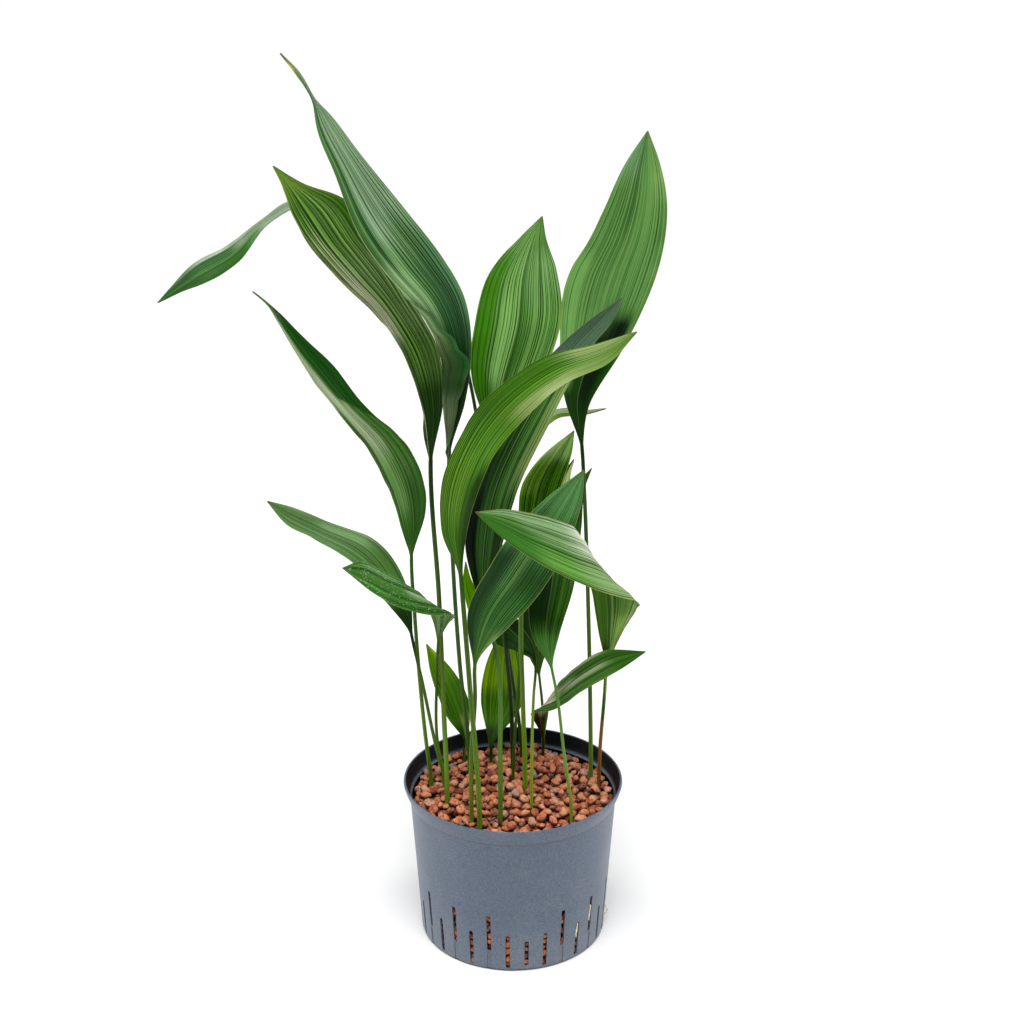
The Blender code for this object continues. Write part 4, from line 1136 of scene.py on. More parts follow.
@dataclass
class Foliage:
    """The twenty leaves, each one closed skin from the stalk's foot to the blade's tip."""

    columns: int = 28
    flap_columns: int = 9
    ring_mm: float = 3.6
    stalk_ring_mm: float = 9.0
    blade_mm: float = 0.55
    margin_mm: float = 0.28
    midrib_mm: float = 1.2
    midrib_width_mm: float = 2.6
    foot_z: float = 150.0
    clear_z: float = 184.0
    stalk_taper: float = 0.8
    tip_half_width: float = 0.7
    pleat_mm: float = 0.7
    wave_length_mm: float = 85.0
    ripple_length_mm: float = 29.0
    beat_length_mm: float = 47.0
    drift_length_mm: float = 61.0
    full_relief_mm: float = 20.0
    wave_shift: float = 1.9
    ripple_shift: tuple[float, float] = (0.7, 2.9)
    channel_share: float = 0.42
    channel_width: float = 0.42
    channel_mm: float = 60.0
    keel_fall: float = 2.2
    opening_mm: tuple[float, float, float] = (18.0, 16.0, 12.0)

    def rails(self, leaf: Leaf) -> tuple[np.ndarray, np.ndarray, np.ndarray, int]:
        """Lay out a leaf's knots, midrib points and half spans in millimetres.

        Args:
            leaf: the leaf's rows.

        Returns:
            Knots, points, spans and the number of the first rib's knot.
        """
        foot = [(*leaf.foot, self.foot_z), (*leaf.foot, self.clear_z)]
        points = np.array(foot + list(leaf.stalk) + [rib[0] for rib in leaf.ribs] + [leaf.tip], float)
        first = 2 + len(leaf.stalk)
        ribs = np.array([rib[1] for rib in leaf.ribs], float)
        taper = 1.0 - (1.0 - self.stalk_taper) * np.arange(first + 1) / first
        stalk = unit(ribs[:1]) * leaf.radius * taper[:, None]
        spans = np.vstack([stalk, ribs[1:], unit(ribs[-1:]) * self.tip_half_width])
        knots = np.concatenate([[0.0], np.cumsum(np.linalg.norm(np.diff(points, axis=0), axis=1))])
        return knots, points, spans, first

    def places(self, knots: np.ndarray, first: int) -> np.ndarray:
        """Space the rings along a leaf: wide apart on the stalk and close on the blade.

        Args:
            knots: millimetres from the foot to each midrib point.
            first: number of the first rib's knot.

        Returns:
            Millimetres from the foot to each ring.
        """
        opening = knots[first] - self.opening_mm[0]
        low = np.linspace(0.0, opening, max(6, round(opening / self.stalk_ring_mm)), endpoint=False)
        blade = knots[-1] - opening
        return np.concatenate([low, np.linspace(opening, knots[-1], max(24, round(blade / self.ring_mm)))])

    def build(self, leaf: Leaf) -> bpy.types.Object:
        """Loft one leaf.

        Args:
            leaf: the leaf's rows.

        Returns:
            The finished piece, with its leaf_place attribute and material.
        """
        knots, points, spans, first = self.rails(leaf)
        at = self.places(knots, first)
        centre = hermite(knots, points, at)
        ahead = hermite(knots, points, np.minimum(at + 1.0, knots[-1]))
        tangent = unit(ahead - hermite(knots, points, np.maximum(at - 1.0, 0.0)))
        span = hermite(knots, spans, at)
        base = knots[first]
        stalk_half = np.interp(at, knots, np.linalg.norm(spans, axis=1))
        half = np.where(at < base, stalk_half, np.linalg.norm(span, axis=1))
        # The stalk carries the first rib's direction down without a twist.
        start = int(np.searchsorted(at, base))
        side = unit(span[start])
        for i in range(start - 1, -1, -1):
            side = unit(side - tangent[i] * side.dot(tangent[i]))
            span[i] = side * half[i]
        run = at - base
        blade_length = knots[-1] - base
        _, before, after = self.opening_mm
        opened = np.maximum.accumulate(half * (run >= -before))
        share = ease(leaf.radius * 0.95, leaf.radius * 3.2, opened) * ease(-before, after, run)
        fade = share * np.sqrt(np.sin(np.pi * np.clip(run / blade_length, 0.0, 1.0)))
        grid, thick, across = self.sections(leaf, run, centre, tangent, span, half, share, fade)
        return self.skin(leaf, grid, thick, across, run, blade_length)

    def sections(
        self, leaf: Leaf, run: np.ndarray, centre: np.ndarray, tangent: np.ndarray, span: np.ndarray,
        half: np.ndarray, share: np.ndarray, fade: np.ndarray,
    ) -> tuple[np.ndarray, tuple[np.ndarray, np.ndarray], np.ndarray]:
        """Shape every cross-section: round in the stalk, thin, cupped and pleated in the blade.

        Args:
            leaf: the leaf's rows.
            run: millimetres from the blade's base, one per ring.
            centre: midrib points.
            tangent: unit directions along the midrib.
            span: half spans towards the right margin.
            half: lengths of the half spans.
            share: 0 in the stalk and 1 in the blade.
            fade: share that also vanishes at both ends of the blade.

        Returns:
            Middle points (rings, columns, 3), the upper and lower thicknesses and the across values.
        """
        blade = share[:, None]
        fades = fade[:, None]
        k = np.arange(self.columns + 1)
        angle = np.pi * (1.0 - (k + 0.5) / (self.columns + 1))
        flat = -1.0 + 2.0 * k / self.columns
        u = np.cos(angle) * (1.0 - blade) + flat * blade
        wide = half[:, None]
        lift = leaf.cup * wide * (np.abs(flat) ** 1.4 - 0.4) * blade
        lift = lift + leaf.crease * wide * (np.sqrt(flat**2 + 0.004) - 0.5) * fades
        room = np.minimum(1.0, wide / self.full_relief_mm)
        lift = lift + self.pleat_mm * np.cos(3 * np.pi * flat) * fades * room
        drift = 0.9 * np.sin(run[:, None] / self.drift_length_mm + len(leaf.ribs))
        lift = lift + leaf.pleats * np.cos(leaf.pleat_count * np.pi * flat + drift) * fades * room
        phase = run[:, None] / self.wave_length_mm * math.tau + np.where(flat > 0, self.wave_shift, 0.0)
        lift = lift + leaf.wave * np.sin(phase) * flat**2 * fades
        quick = run[:, None] / self.ripple_length_mm * math.tau + np.where(flat > 0, *self.ripple_shift)
        beat = np.sin(run[:, None] / self.beat_length_mm)
        lift = lift + leaf.ripple * np.sin(quick + beat) * flat**6 * fades * room
        rib = np.exp(-((u * wide / self.midrib_width_mm) ** 2)) * fades
        lift = lift - 0.6 * self.midrib_mm * rib
        upper = unit(np.cross(span, tangent))
        grid = centre[:, None] + span[:, None] * u[..., None] + upper[:, None] * lift[..., None]
        body = self.margin_mm + (self.blade_mm - self.margin_mm) * (1.0 - flat**4)
        round_half = np.minimum(wide, leaf.radius * 1.05) * np.sin(angle)
        deepen = self.channel_share * ease(-self.channel_mm, 0.0, run)[:, None]
        channel = 1.0 - deepen * np.exp(-((u / self.channel_width) ** 2))
        above = round_half * channel * (1.0 - blade) + body / 2 * blade
        below = round_half * (1.0 - blade) + body / 2 * blade
        # The stalk runs on under the blade as a midrib that thins towards the tip.
        left = 1.0 - np.clip(run / run[-1], 0.0, 1.0)[:, None]
        keel = leaf.radius * self.stalk_taper * left**self.keel_fall
        below = below + keel * 1.5 * np.exp(-((u * wide / (keel + 0.4)) ** 2)) * blade
        across = np.broadcast_to(u, grid.shape[:2])
        for flap in leaf.flaps:
            grid, above, below, across = self.fold(flap, run, grid, above, below, across)
        return grid, (above, below), across

    def fold(
        self, flap: Flap, run: np.ndarray, grid: np.ndarray, above: np.ndarray, below: np.ndarray,
        across: np.ndarray,
    ) -> tuple[np.ndarray, np.ndarray, np.ndarray, np.ndarray]:
        """Add a strip beyond one margin that curls back over the blade.

        Args:
            flap: the strip's place and size.
            run: millimetres from the blade's base, one per ring.
            grid: middle points.
            above: upper thicknesses.
            below: lower thicknesses.
            across: across values.

        Returns:
            The four arrays, wider by the strip's columns.
        """
        last = -1 if flap.side > 0 else 0
        beside = -2 if flap.side > 0 else 1
        rim = grid[:, last]
        out = unit(rim - grid[:, beside])
        forward = unit(np.gradient(rim, axis=0))
        out = unit(out - forward * np.sum(out * forward, axis=1, keepdims=True))
        up = np.cross(out, forward) if flap.side > 0 else np.cross(forward, out)
        place = run / run[-1]
        run_up = (place - flap.start) / (flap.peak - flap.start)
        run_out = (flap.end - place) / (flap.end - flap.peak)
        reach = np.clip(np.minimum(run_up, run_out), 0.0, 1.0)
        width = 0.25 + flap.width_mm * reach**0.9
        turn = math.radians(flap.degrees) * ease(0.0, 0.22, reach)
        q = np.linspace(0.0, 1.0, self.flap_columns + 1)[1:] ** 1.5
        far = width[:, None] * q
        bend = np.minimum(far / flap.round_mm, np.abs(turn)[:, None])
        straight = far - bend * flap.round_mm
        sign = np.sign(flap.degrees)
        ahead = flap.round_mm * np.sin(bend) + straight * np.cos(bend)
        rise = sign * (flap.round_mm * (1 - np.cos(bend)) + straight * np.sin(bend))
        strip = rim[:, None] + out[:, None] * ahead[..., None] + up[:, None] * rise[..., None]
        ones = np.ones((len(run), self.flap_columns))
        parts = (
            strip, above[:, last][:, None] * ones, below[:, last][:, None] * ones,
            flap.side * (0.96 - 0.86 * q)[None] * ones,
        )
        pairs = list(zip((grid, above, below, across), parts))
        if flap.side > 0:
            return tuple(np.concatenate([base, extra], axis=1) for base, extra in pairs)
        return tuple(np.concatenate([extra[:, ::-1], base], axis=1) for base, extra in pairs)

    def skin(
        self, leaf: Leaf, grid: np.ndarray, thick: tuple[np.ndarray, np.ndarray], across: np.ndarray,
        run: np.ndarray, blade_length: float,
    ) -> bpy.types.Object:
        """Close the middle surface into a thin solid and give it its attribute and material.

        Args:
            leaf: the leaf's rows.
            grid: middle points in millimetres.
            thick: upper and lower thicknesses.
            across: across values.
            run: millimetres from the blade's base, one per ring.
            blade_length: blade's length in millimetres.

        Returns:
            The finished piece.
        """
        rings, wide = grid.shape[:2]
        normal = unit(np.cross(np.gradient(grid, axis=1), np.gradient(grid, axis=0)))
        top = grid + normal * thick[0][..., None]
        under = grid - normal * thick[1][..., None]
        verts = np.concatenate([top.reshape(-1, 3), under.reshape(-1, 3)]) * MM
        index = np.arange(rings * wide).reshape(rings, wide)
        a, b, c, d = index[:-1, :-1], index[:-1, 1:], index[1:, 1:], index[1:, :-1]
        shift = rings * wide
        faces = [np.stack([a, b, c, d], -1).reshape(-1, 4), np.stack([d, c, b, a], -1).reshape(-1, 4) + shift]
        # Each rim is read so that its walls face outward.
        for rim in (index[::-1, 0], index[:, -1], index[0], index[-1, ::-1]):
            faces.append(np.stack([rim[:-1], rim[:-1] + shift, rim[1:] + shift, rim[1:]], -1))
        mesh = bpy.data.meshes.new(leaf.name + "_fine")
        mesh.from_pydata(verts.tolist(), [], np.concatenate(faces).tolist())
        place = np.zeros((2 * shift, 3), np.float32)
        place[:, 0] = np.tile(across.reshape(-1), 2)
        place[:, 1] = np.tile(np.repeat(run * MM, wide), 2)
        place[:shift, 2] = 1.0
        mark(mesh, "leaf_place", "FLOAT_VECTOR", place)
        # The patches paint shade, highlights and the glow of light through thin blades, and a few real marks.
        mark(mesh, "leaf_painted_light_and_marks", "FLOAT_COLOR", self.paint(leaf, place[:, 1] / (run[-1] * MM), place[:, 0]))
        number = int(leaf.name[-2:])
        mesh.materials.append(leaf.skin.build(leaf.name, blade_length * MM, -run[0] * MM, 3.7 * number))
        item = new_piece(leaf.name + "_fine", mesh)
        smooth(item)
        return item

    def paint(self, leaf: Leaf, along: np.ndarray, across: np.ndarray) -> np.ndarray:
        """Lay a leaf's patches over each other.

        Args:
            leaf: the leaf's rows.
            along: share of the blade's length of every vertex.
            across: across value of every vertex.

        Returns:
            Linear colour and strength of every vertex.
        """
        tone = np.zeros((len(along), 4), np.float32)
        for patch in leaf.patches:
            cover = patch.cover(along, across)
            total = cover + tone[:, 3] * (1.0 - cover)
            blend = (cover / np.maximum(total, 1e-6))[:, None]
            tone[:, :3] = np.array(linear(patch.colour)[:3]) * blend + tone[:, :3] * (1.0 - blend)
            tone[:, 3] = total
        return tone

    def dress(self) -> None:
        """Build every leaf in place of its node."""
        for leaf in LEAVES:
            seat(self.build(leaf), leaf.age.value, leaf.name)


# --- pot --------------------------------------------------------------------------------------------


@dataclass
class Pot:
    """A slatted culture pot: turned, with drain slots, grooves, base notches and a rolled rim band.

    Sizes are millimetres and angles are degrees.
    """

    rim_radius: float = 125.0
    height: float = 189.5
    base_radius: float = 106.3
    wall: float = 2.0
    band_height: float = 20.0
    band_step: float = 7.2
    base_blend: float = 2.5
    slot_count: int = 32
    slot_width: float = 4.8
    high_slot: tuple[float, float] = (26.0, 73.5)
    low_slot: tuple[float, float] = (3.8, 48.5)
    short_slot: tuple[float, float] = (6.8, 40.5)
    short_index: int = 1
    slot_phase: float = -3.1
    first_groove: int = 3
    groove_depth: float = 0.8
    cutter_reach: float = 5.0
    notch_count: int = 6
    notch_width: float = 27.0
    notch_rise: float = 2.2
    notch_depth: float = 5.0
    notch_phase: float = 7.0
    steps: int = 240
    finish: Polypropylene = Polypropylene()

    @property
    def band_foot(self) -> float:
        """Height where the band meets the wall."""
        return self.height - self.band_height

    @property
    def waist(self) -> float:
        """Outer radius of the wall where it meets the band."""
        return self.rim_radius - self.band_step

    def wall_radius(self, height: float) -> float:
        """Outer radius of the tapered wall at a height, in millimetres."""
        return self.base_radius + (self.waist - self.base_radius) * height / self.band_foot

    def profile(self) -> list[tuple[float, float]]:
        """Lay out the turned outline, inner face first, with soft edges.

        Returns:
            Radii and heights in millimetres.
        """
        rim, top, foot, wall, waist = self.rim_radius, self.height, self.band_foot, self.wall, self.waist
        inner = [
            (0.0, wall), (40.0, wall), (80.0, wall), (self.base_radius - wall - 1.5, wall),
            (self.wall_radius(wall + 2.0) - wall, wall + 2.0),
        ]
        inner += [(self.wall_radius(z) - wall, z) for z in range(10, int(foot) - 2, 12)]
        inner += [
            (waist - wall, foot), (rim - 7.1, foot + 2.6), (rim - 4.4, top - 10.0), (rim - 2.6, top - 0.8),
            (rim - 2.35, top - 0.25), (rim - 1.9, top),
        ]
        outer = [
            (rim - 1.3, top), (rim - 0.6, top - 0.25), (rim - 0.2, top - 0.8), (rim, top - 1.6),
            (rim, top - 2.4), (rim - 0.5, top - 4.0), (rim - 2.4, top - 10.0), (rim - 5.2, foot + 3.2),
            (rim - 6.0, foot + 1.4), (rim - 6.35, foot + 0.6), (rim - 6.7, foot + 0.15), (waist + 0.4, foot),
            (waist, foot - 0.3),
        ]
        outer += [(self.wall_radius(z), z) for z in range(int(foot) - 8, 4, -7)]
        blend = self.base_blend
        outer += [
            (self.wall_radius(blend), blend), (self.base_radius - 0.25, 1.4), (self.base_radius - 0.7, 0.7),
            (self.base_radius - 1.5, 0.15), (self.base_radius - blend, 0.0), (60.0, 0.0), (0.0, 0.0),
        ]
        return inner + outer

    def slot_angle(self, index: int) -> float:
        """Azimuth of a slot, counted to the right from the front."""
        return math.radians(self.slot_phase) + index * math.tau / self.slot_count + FRONT

    def slot_span(self, index: int) -> tuple[float, float]:
        """Bottom and top heights of a slot in millimetres."""
        if index == self.short_index:
            return self.short_slot
        return self.high_slot if index % 2 else self.low_slot

    def prism(
        self, shape: bmesh.types.BMesh, span: tuple[float, float], turn: float, arc_steps: int = 8
    ) -> None:
        """Add one upright round-ended cutter through the wall.

        Args:
            shape: the cutter's bmesh.
            span: bottom and top heights in millimetres.
            turn: azimuth.
            arc_steps: steps of each round end.
        """
        radius = self.slot_width / 2
        outline = []
        for centre, start in ((span[1] - radius, 0.0), (span[0] + radius, math.pi)):
            for step in range(arc_steps + 1):
                angle = start + math.pi * step / arc_steps
                outline.append((radius * math.cos(angle), centre + radius * math.sin(angle)))
        place = Matrix.Rotation(turn, 4, "Z")
        near, far = self.base_radius - 8.0, self.rim_radius
        front = [shape.verts.new(place @ Vector((far, y, z)) * MM) for y, z in outline]
        back = [shape.verts.new(place @ Vector((near, y, z)) * MM) for y, z in outline]
        shape.faces.new(front)
        shape.faces.new(reversed(back))
        for i in range(len(outline)):
            j = (i + 1) % len(outline)
            shape.faces.new((front[i], back[i], back[j], front[j]))

    def cutter(self, name: str, fill: Callable[[bmesh.types.BMesh], None]) -> bpy.types.Object:
        """Make a cutter that is removed again once the pot is cut.

        Args:
            name: the cutter's name.
            fill: the method that fills its bmesh.

        Returns:
            The cutter.
        """
        shape = bmesh.new()
        fill(shape)
        bmesh.ops.recalc_face_normals(shape, faces=shape.faces)
        mesh = bpy.data.meshes.new(name)
        shape.to_mesh(mesh)
        shape.free()
        return new_piece(name, mesh)

    def fill_slots(self, shape: bmesh.types.BMesh) -> None:
        """Fill a bmesh with all the slots' cutters."""
        for index in range(self.slot_count):
            self.prism(shape, self.slot_span(index), self.slot_angle(index))

    def fill_grooves(self, shape: bmesh.types.BMesh) -> None:
        """Fill a bmesh with the shallow grooves under the high slots.

        Args:
            shape: the cutter's bmesh.
        """
        lean = math.atan2(self.waist - self.base_radius, self.band_foot)
        depth = self.cutter_reach / 2 - self.groove_depth
        for index in range(self.first_groove, self.slot_count, 2):
            top = self.slot_span(index)[0] - 1.5
            tall = top + 2.0
            place = (
                Matrix.Rotation(self.slot_angle(index), 4, "Z")
                @ Matrix.Translation(Vector((self.base_radius, 0.0, 0.0)) * MM)
                @ Matrix.Rotation(lean, 4, "Y")
                @ Matrix.Translation(Vector((depth, 0.0, tall / 2 - 2.0)) * MM)
            )
            size = Matrix.Diagonal((self.cutter_reach * MM, self.slot_width * MM, tall * MM, 1.0))
            bmesh.ops.create_cube(shape, size=1.0, matrix=place @ size)

    def fill_notches(self, shape: bmesh.types.BMesh) -> None:
        """Fill a bmesh with the low notches in the base edge.

        Args:
            shape: the cutter's bmesh.
        """
        size = Vector((self.notch_depth, self.notch_width / 2, self.notch_rise))
        for index in range(self.notch_count):
            angle = math.radians(self.notch_phase) + index * math.tau / self.notch_count + FRONT
            place = (
                Matrix.Rotation(angle, 4, "Z")
                @ Matrix.Translation(Vector((self.base_radius, 0.0, 0.0)) * MM)
                @ Matrix.Diagonal((*size * MM, 1.0))
                @ Matrix.Rotation(math.pi / 2, 4, "Y")
            )
            bmesh.ops.create_cone(
                shape, cap_ends=True, segments=48, radius1=1.0, radius2=1.0, depth=1.0, matrix=place
            )

    def build(self) -> bpy.types.Object:
        """Turn the pot and cut its slots, grooves and notches.

        Returns:
            The finished piece.
        """
        item = turned("pot", self.profile(), self.steps)
        cutters = [
            self.cutter("slots", self.fill_slots), self.cutter("grooves", self.fill_grooves),
            self.cutter("notches", self.fill_notches),
        ]
        for cutter in cutters:
            boolean = item.modifiers.new("cut", "BOOLEAN")
            boolean.operation = "DIFFERENCE"
            boolean.solver = "EXACT"
            boolean.object = cutter
        pot = baked(item, "pot_fine")
        for cutter in cutters:
            bpy.data.objects.remove(cutter, do_unlink=True)
        coat(pot, self.finish.build())
        smooth(pot, 32.0)
        return pot

    def dress(self) -> None:
        """Build the pot in place of its node."""
        seat(self.build(), "pot", "pot")


# --- granules ---------------------------------------------------------------------------------------


@dataclass
class GranuleBed:
    """Loose expanded clay: granules dropped one by one, each at rest on those below it, in millimetres."""

    pot: Pot
    edge_z: float = 168.5
    crown: float = 10.0
    core_drop: float = 17.0
    reach: float = 115.0
    bed_radius: float = 114.4
    overfill: float = 5.2
    smallest: float = 2.6
    largest: float = 7.2
    size_bias: tuple[float, float] = (2.0, 2.6)
    nestle: float = 0.94
    stack_sizes: tuple[float, float] = (3.0, 5.0)
    stack_rise: tuple[float, float] = (1.8, 2.8)
    stack_inset: tuple[float, float] = (1.0, 1.3)
    tries: int = 26
    most_missed: int = 60
    most: int = 4000
    lump_share: float = 0.8
    lump_scale: float = 190.0
    stretch: tuple[tuple[float, float], ...] = ((0.95, 1.45), (0.8, 1.06), (0.68, 0.98))
    core_steps: int = 60
    seed: int = 11
    finish: ExpandedClay = ExpandedClay()

    def surface(self, x: np.ndarray, y: np.ndarray) -> np.ndarray:
        """Height of the bed's own surface in millimetres."""
        return self.edge_z + self.crown * (1.0 - (x * x + y * y) / self.bed_radius**2)

    def drop(self, draw: np.random.Generator) -> np.ndarray:
        """Drop granules until the bed is full.

        Args:
            draw: the seeded random numbers.

        Returns:
            Rows of x, y, z and radius in millimetres.
        """
        stalks = np.array([(*leaf.foot, leaf.radius) for leaf in LEAVES])
        rest = np.zeros((self.most, 4))
        count = 0
        missed = 0
        while missed < self.most_missed and count < len(rest):
            size = self.smallest + (self.largest - self.smallest) * draw.beta(*self.size_bias)
            far = np.sqrt(draw.uniform(0.0, 1.0, self.tries)) * (self.reach - size)
            turn = draw.uniform(0.0, math.tau, self.tries)
            x, y = far * np.cos(turn), far * np.sin(turn)
            apart = np.hypot(x[:, None] - stalks[:, 0], y[:, None] - stalks[:, 1])
            near = (apart < stalks[:, 2] + size * 0.9).any(axis=1)
            z = self.surface(x, y) - self.core_drop + size * 0.3
            if count:
                below = rest[:count]
                gap2 = (x[:, None] - below[:, 0]) ** 2 + (y[:, None] - below[:, 1]) ** 2
                reach = (size + below[:, 3]) * self.nestle
                touch = below[:, 2] + np.sqrt(np.maximum(reach**2 - gap2, 0.0))
                z = np.maximum(z, np.where(gap2 < reach**2, touch, -1e3).max(axis=1))
            z = np.where(near, 1e3, z)
            best = int(np.argmin(z - self.surface(x, y)))
            if z[best] + size * 0.55 > self.surface(x[best], y[best]) + self.overfill:
                missed += 1
                continue
            rest[count] = (x[best], y[best], z[best], size)
            count += 1
        return rest[:count]

    def stacks(self, draw: np.random.Generator) -> np.ndarray:
        """Stack granules against the wall behind every slot.

        Args:
            draw: the seeded random numbers.

        Returns:
            Rows of x, y, z and radius in millimetres.
        """
        rows = []
        for index in range(self.pot.slot_count):
            low, high = self.pot.slot_span(index)
            for lane in (-1, 0, 1):
                z = low + draw.uniform(-1.0, 3.0)
                while z < high + 4.0:
                    size = draw.uniform(*self.stack_sizes)
                    out = self.pot.wall_radius(z) - self.pot.wall - size * draw.uniform(*self.stack_inset)
                    turn = self.pot.slot_angle(index) + (lane * 1.75 * size + draw.normal(0, 0.9)) / out
                    height = max(z, self.pot.wall + size)
                    rows.append((out * math.cos(turn), out * math.sin(turn), height, size))
                    z += size * draw.uniform(*self.stack_rise)
        return np.array(rows)

    def scatter(
        self, name: str, rest: np.ndarray, draw: np.random.Generator, clay: bpy.types.Material
    ) -> bpy.types.Object:
        """Turn rows of granules into lumpy pebbles with a node tree.

        Args:
            name: the piece's name.
            rest: rows of x, y, z and radius in millimetres.
            draw: the seeded random numbers.
            clay: the granules' material.

        Returns:
            The finished piece, with each granule's tint as an attribute.
        """
        mesh = bpy.data.meshes.new(name + "_places")
        mesh.from_pydata((rest[:, :3] * MM).tolist(), [], [])
        count = len(rest)
        stretch = np.stack([draw.uniform(*span, count) for span in self.stretch], -1)
        tilt = [draw.normal(0, 0.5, count) for _ in range(2)]
        turn = np.stack([*tilt, draw.uniform(0, math.tau, count)], -1)
        mark(mesh, "granule_scale", "FLOAT_VECTOR", stretch * rest[:, 3:4] * MM)
        mark(mesh, "granule_turn", "FLOAT_VECTOR", turn)
        mark(mesh, "granule_tint", "FLOAT", draw.uniform(0.0, 1.0, count))
        item = new_piece(name + "_places", mesh)
        tree = self.pebble_tree()
        modifier = item.modifiers.new("granules", "NODES")
        modifier.node_group = tree
        sockets = {s.name: s.identifier for s in tree.interface.items_tree if s.in_out == "INPUT"}
        modifier[sockets["Lump share"]] = self.lump_share
        modifier[sockets["Lump scale"]] = self.lump_scale
        modifier[sockets["Clay"]] = clay
        piece = baked(item, name)
        smooth(piece, 75.0)
        return piece

    def pebble_tree(self) -> bpy.types.NodeTree:
        """Build the tree that grows one lumpy pebble on every point.

        Returns:
            The tree, with its sizes and material as named inputs.
        """
        tree = bpy.data.node_groups.new("lumpy_pebbles", "GeometryNodeTree")
        for label, kind in (
            ("Geometry", "NodeSocketGeometry"), ("Lump share", "NodeSocketFloat"),
            ("Lump scale", "NodeSocketFloat"), ("Clay", "NodeSocketMaterial"),
        ):
            tree.interface.new_socket(label, in_out="INPUT", socket_type=kind)
        tree.interface.new_socket("Geometry", in_out="OUTPUT", socket_type="NodeSocketGeometry")
        given = add(tree, "NodeGroupInput").outputs
        scale, turn = (
            add(tree, "GeometryNodeInputNamedAttribute", {"Name": label}, data_type="FLOAT_VECTOR").outputs[0]
            for label in ("granule_scale", "granule_turn")
        )
        points = add(tree, "GeometryNodeMeshToPoints", {"Mesh": given["Geometry"]}).outputs[0]
        ball = add(tree, "GeometryNodeMeshIcoSphere", {"Radius": 1.0, "Subdivisions": 2}).outputs[0]
        grown = add(
            tree, "GeometryNodeInstanceOnPoints",
            {"Points": points, "Instance": ball, "Rotation": turn, "Scale": scale},
        ).outputs[0]
        real = add(tree, "GeometryNodeRealizeInstances", {"Geometry": grown}).outputs[0]
        # Each pebble lies elsewhere in the noise, so no two share a shape.
        place = add(tree, "GeometryNodeInputPosition").outputs[0]
        cloud = {"Vector": place, "Scale": given["Lump scale"], "Detail": 1.0}
        lump = add(tree, "ShaderNodeTexNoise", cloud).outputs[0]
        swell = add(tree, "ShaderNodeMath", {0: lump, 1: 0.5}, operation="SUBTRACT").outputs[0]
        size = add(tree, "ShaderNodeVectorMath", {0: scale}, operation="LENGTH").outputs["Value"]
        share = given["Lump share"]
        lumpy = add(tree, "ShaderNodeMath", {0: swell, 1: share}, operation="MULTIPLY").outputs[0]
        push = add(tree, "ShaderNodeMath", {0: lumpy, 1: size}, operation="MULTIPLY").outputs[0]
        away = add(tree, "GeometryNodeInputNormal").outputs[0]
        offset = add(tree, "ShaderNodeVectorMath", {0: away, 3: push}, operation="SCALE").outputs[0]
        moved = add(tree, "GeometryNodeSetPosition", {"Geometry": real, "Offset": offset}).outputs[0]
        done = add(tree, "GeometryNodeSetMaterial", {"Geometry": moved, "Material": given["Clay"]}).outputs[0]
        add(tree, "NodeGroupOutput", {"Geometry": done})
        return tree

    def core(self, clay: bpy.types.Material) -> bpy.types.Object:
        """Turn the filling under the loose granules in the clay's darkest tint: painted shade for the deep
        gaps below them.

        Args:
            clay: the granules' material.

        Returns:
            The finished piece.
        """
        wall = self.pot.wall_radius
        radii = (0.0, 40.0, 80.0, 108.0)
        rings = [(radius, float(self.surface(radius, 0.0)) - self.core_drop) for radius in radii]
        rings += [(wall(140.0) - 8.0, 140.0), (wall(70.0) - 8.5, 72.0), (wall(8.0) - 9.0, 3.0), (0.0, 3.0)]
        piece = baked(turned("bed_shade_core", rings, self.core_steps), "bed_shade_core")
        heal(piece)
        coat(piece, clay)
        # Tint 0 is the ramp's near-black stop, which paints the core as shade.
        mark(piece.data, "granule_tint", "FLOAT", np.zeros(len(piece.data.vertices)))
        smooth(piece, 40.0)
        return piece

    def dress(self) -> None:
        """Fill the pot in place of the bed's node."""
        clay = self.finish.build()
        draw = np.random.default_rng(self.seed)
        top = self.scatter("granules_top", self.drop(draw), draw, clay)
        sides = self.scatter("granules_in_slots", self.stacks(draw), draw, clay)
        for item in (top, sides, self.core(clay)):
            seat(item, "granules", "granule_bed")


# --- roots ------------------------------------------------------------------------------------------


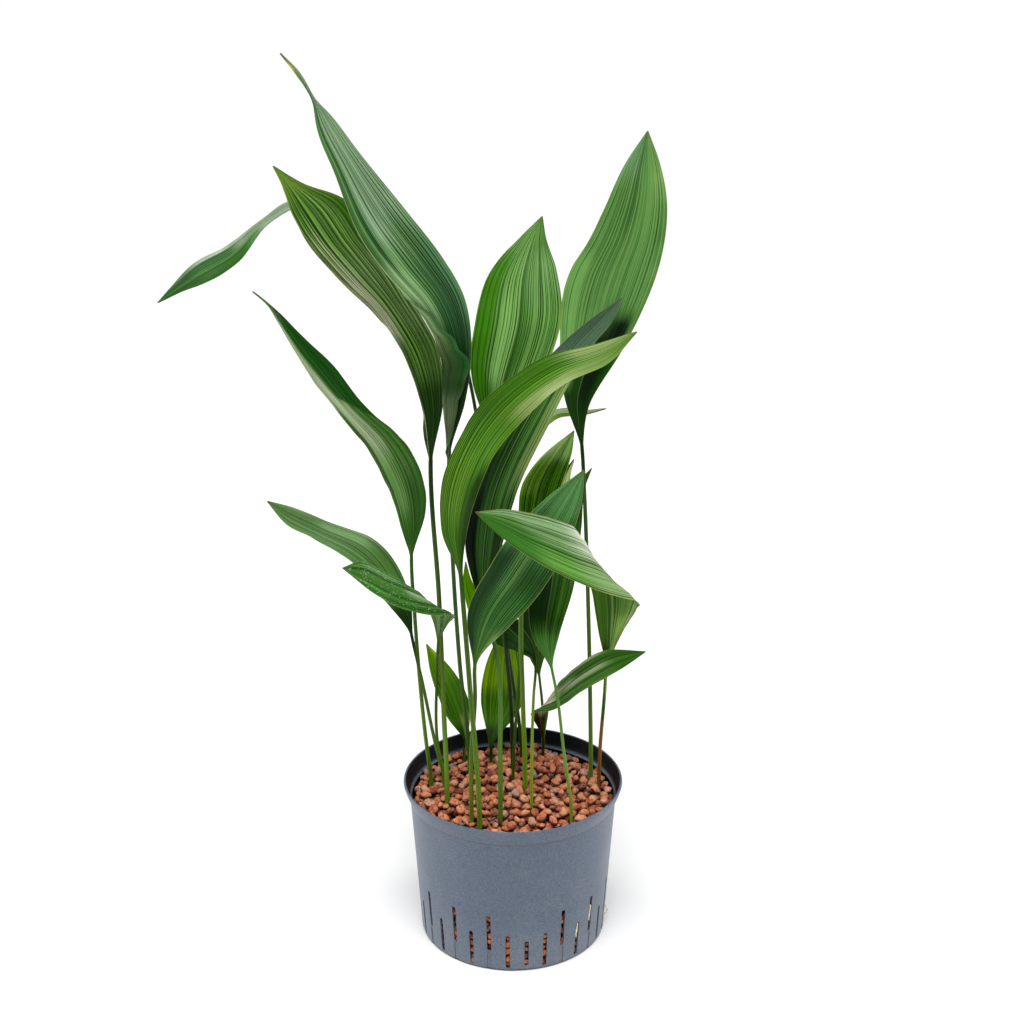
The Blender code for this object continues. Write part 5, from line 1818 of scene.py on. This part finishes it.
@dataclass
class Roots:
    """Roots that have found their way into the drain slots on the right.

    A row is a root's node, its slot, the heights of its ends and how far it bulges out, in millimetres.
    """

    pot: Pot
    rows: tuple[tuple[str, int, float, float, float], ...] = (
        ("root_1", 4, 29.0, 47.0, 0.0), ("root_2", 5, 41.0, 61.0, 0.0), ("root_3", 8, 9.5, 24.5, 4.5),
    )
    radius: float = 1.0
    inset: float = 0.9
    steps: int = 40
    finish: RootRind = RootRind()

    def build(self, name: str, slot: int, low: float, high: float, bulge: float) -> bpy.types.Object:
        """Run one root up its slot.

        Args:
            name: the root's node.
            slot: number of the slot that it lies in.
            low: height of its lower end in millimetres.
            high: height of its upper end in millimetres.
            bulge: how far its middle stands outside the wall.

        Returns:
            The finished piece.
        """
        line = bpy.data.curves.new(name, "CURVE")
        line.dimensions = "3D"
        line.bevel_depth = self.radius * MM
        line.bevel_resolution = 3
        line.use_fill_caps = True
        path = line.splines.new("POLY")
        path.points.add(self.steps)
        turn = self.pot.slot_angle(slot)
        for i in range(self.steps + 1):
            t = i / self.steps
            z = low + (high - low) * t
            out = self.pot.wall_radius(z) - self.inset + bulge * math.sin(math.pi * t)
            side = 0.6 * math.sin(1.5 * math.pi * (t - 0.5)) + 0.12 * math.sin(23.0 * t)
            x = out * math.cos(turn) - side * math.sin(turn)
            y = out * math.sin(turn) + side * math.cos(turn)
            path.points[i].co = (x * MM, y * MM, z * MM, 1.0)
            path.points[i].radius = 0.82 + 0.16 * math.sin(9.0 * t + slot) * math.sin(math.pi * t)
        piece = baked(new_piece(name, line), name + "_fine")
        heal(piece, WELD)
        smooth(piece, 60.0)
        return piece

    def dress(self) -> None:
        """Build every root in place of its node."""
        rind = self.finish.build()
        for row in self.rows:
            piece = self.build(*row)
            coat(piece, rind)
            seat(piece, "roots", row[0])


# --- studio -----------------------------------------------------------------------------------------


@dataclass
class Studio:
    """Pale floor, large soft boxes and the camera above, looking down at the plant.

    A box is its name, place, target, size in metres and power in watts. Angles are degrees.
    """

    floor_reach: float = 40.0
    camera_place: Vec = (-0.0011, -1.9348, 1.2547)
    pitch_down: float = 20.94
    lens: float = 67.16
    sensor_width: float = 36.0
    world_level: float = 0.36
    sun_level: float = 3.1
    sun_width: float = 40.0
    sun_from: Vec = (-0.03, -0.58, 1.38)
    boxes: tuple[tuple[str, Vec, Vec, float, float], ...] = (
        ("left_box", (-2.4, 0.5, 0.9), (0.0, 0.0, 0.35), 1.6, 30.0),
        ("right_box", (2.4, 0.5, 0.9), (0.0, 0.0, 0.35), 1.6, 30.0),
    )
    paint: PaleFloor = PaleFloor()

    def floor(self) -> None:
        """Lay the pale floor."""
        mesh = bpy.data.meshes.new("studio_floor")
        far = self.floor_reach
        mesh.from_pydata([(-far, -far, 0), (far, -far, 0), (far, far, 0), (-far, far, 0)], [], [(0, 1, 2, 3)])
        mesh.materials.append(self.paint.build())
        new_piece("studio_floor", mesh)

    def light(self) -> None:
        """Hang the soft boxes and lift the surroundings."""
        for name, place, target, size, power in self.boxes:
            lamp = bpy.data.lights.new(name, "AREA")
            lamp.shape = "SQUARE"
            lamp.size = size
            lamp.energy = power
            item = new_piece(name, lamp)
            item.location = place
            item.rotation_euler = (Vector(target) - Vector(place)).to_track_quat("-Z", "Y").to_euler()
        key = bpy.data.lights.new("key", "SUN")
        key.energy = self.sun_level
        key.angle = math.radians(self.sun_width)
        item = new_piece("key", key)
        item.rotation_euler = (-Vector(self.sun_from)).to_track_quat("-Z", "Y").to_euler()
        world = bpy.data.worlds.new("studio")
        bpy.context.scene.world = world
        world.use_nodes = True
        sky = world.node_tree.nodes["Background"]
        sky.inputs["Color"].default_value = (1.0, 1.0, 1.0, 1.0)
        sky.inputs["Strength"].default_value = self.world_level

    def camera(self) -> None:
        """Place the camera."""
        data = bpy.data.cameras.new("camera")
        data.lens = self.lens
        data.sensor_width = self.sensor_width
        item = new_piece("camera", data)
        item.location = self.camera_place
        item.rotation_euler = (math.radians(90.0 - self.pitch_down), 0.0, 0.0)
        bpy.context.scene.camera = item

    def build(self) -> None:
        """Set up floor, lights and camera."""
        self.floor()
        self.light()
        self.camera()
        bpy.context.scene.view_settings.view_transform = "Standard"


def main() -> None:
    """Build the plant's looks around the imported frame."""
    logging.basicConfig(level=logging.INFO, format="%(message)s")
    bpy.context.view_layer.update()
    pot = Pot()
    pot.dress()
    GranuleBed(pot).dress()
    Roots(pot).dress()
    Foliage().dress()
    Studio().build()


if __name__ == "__main__":
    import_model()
    main()
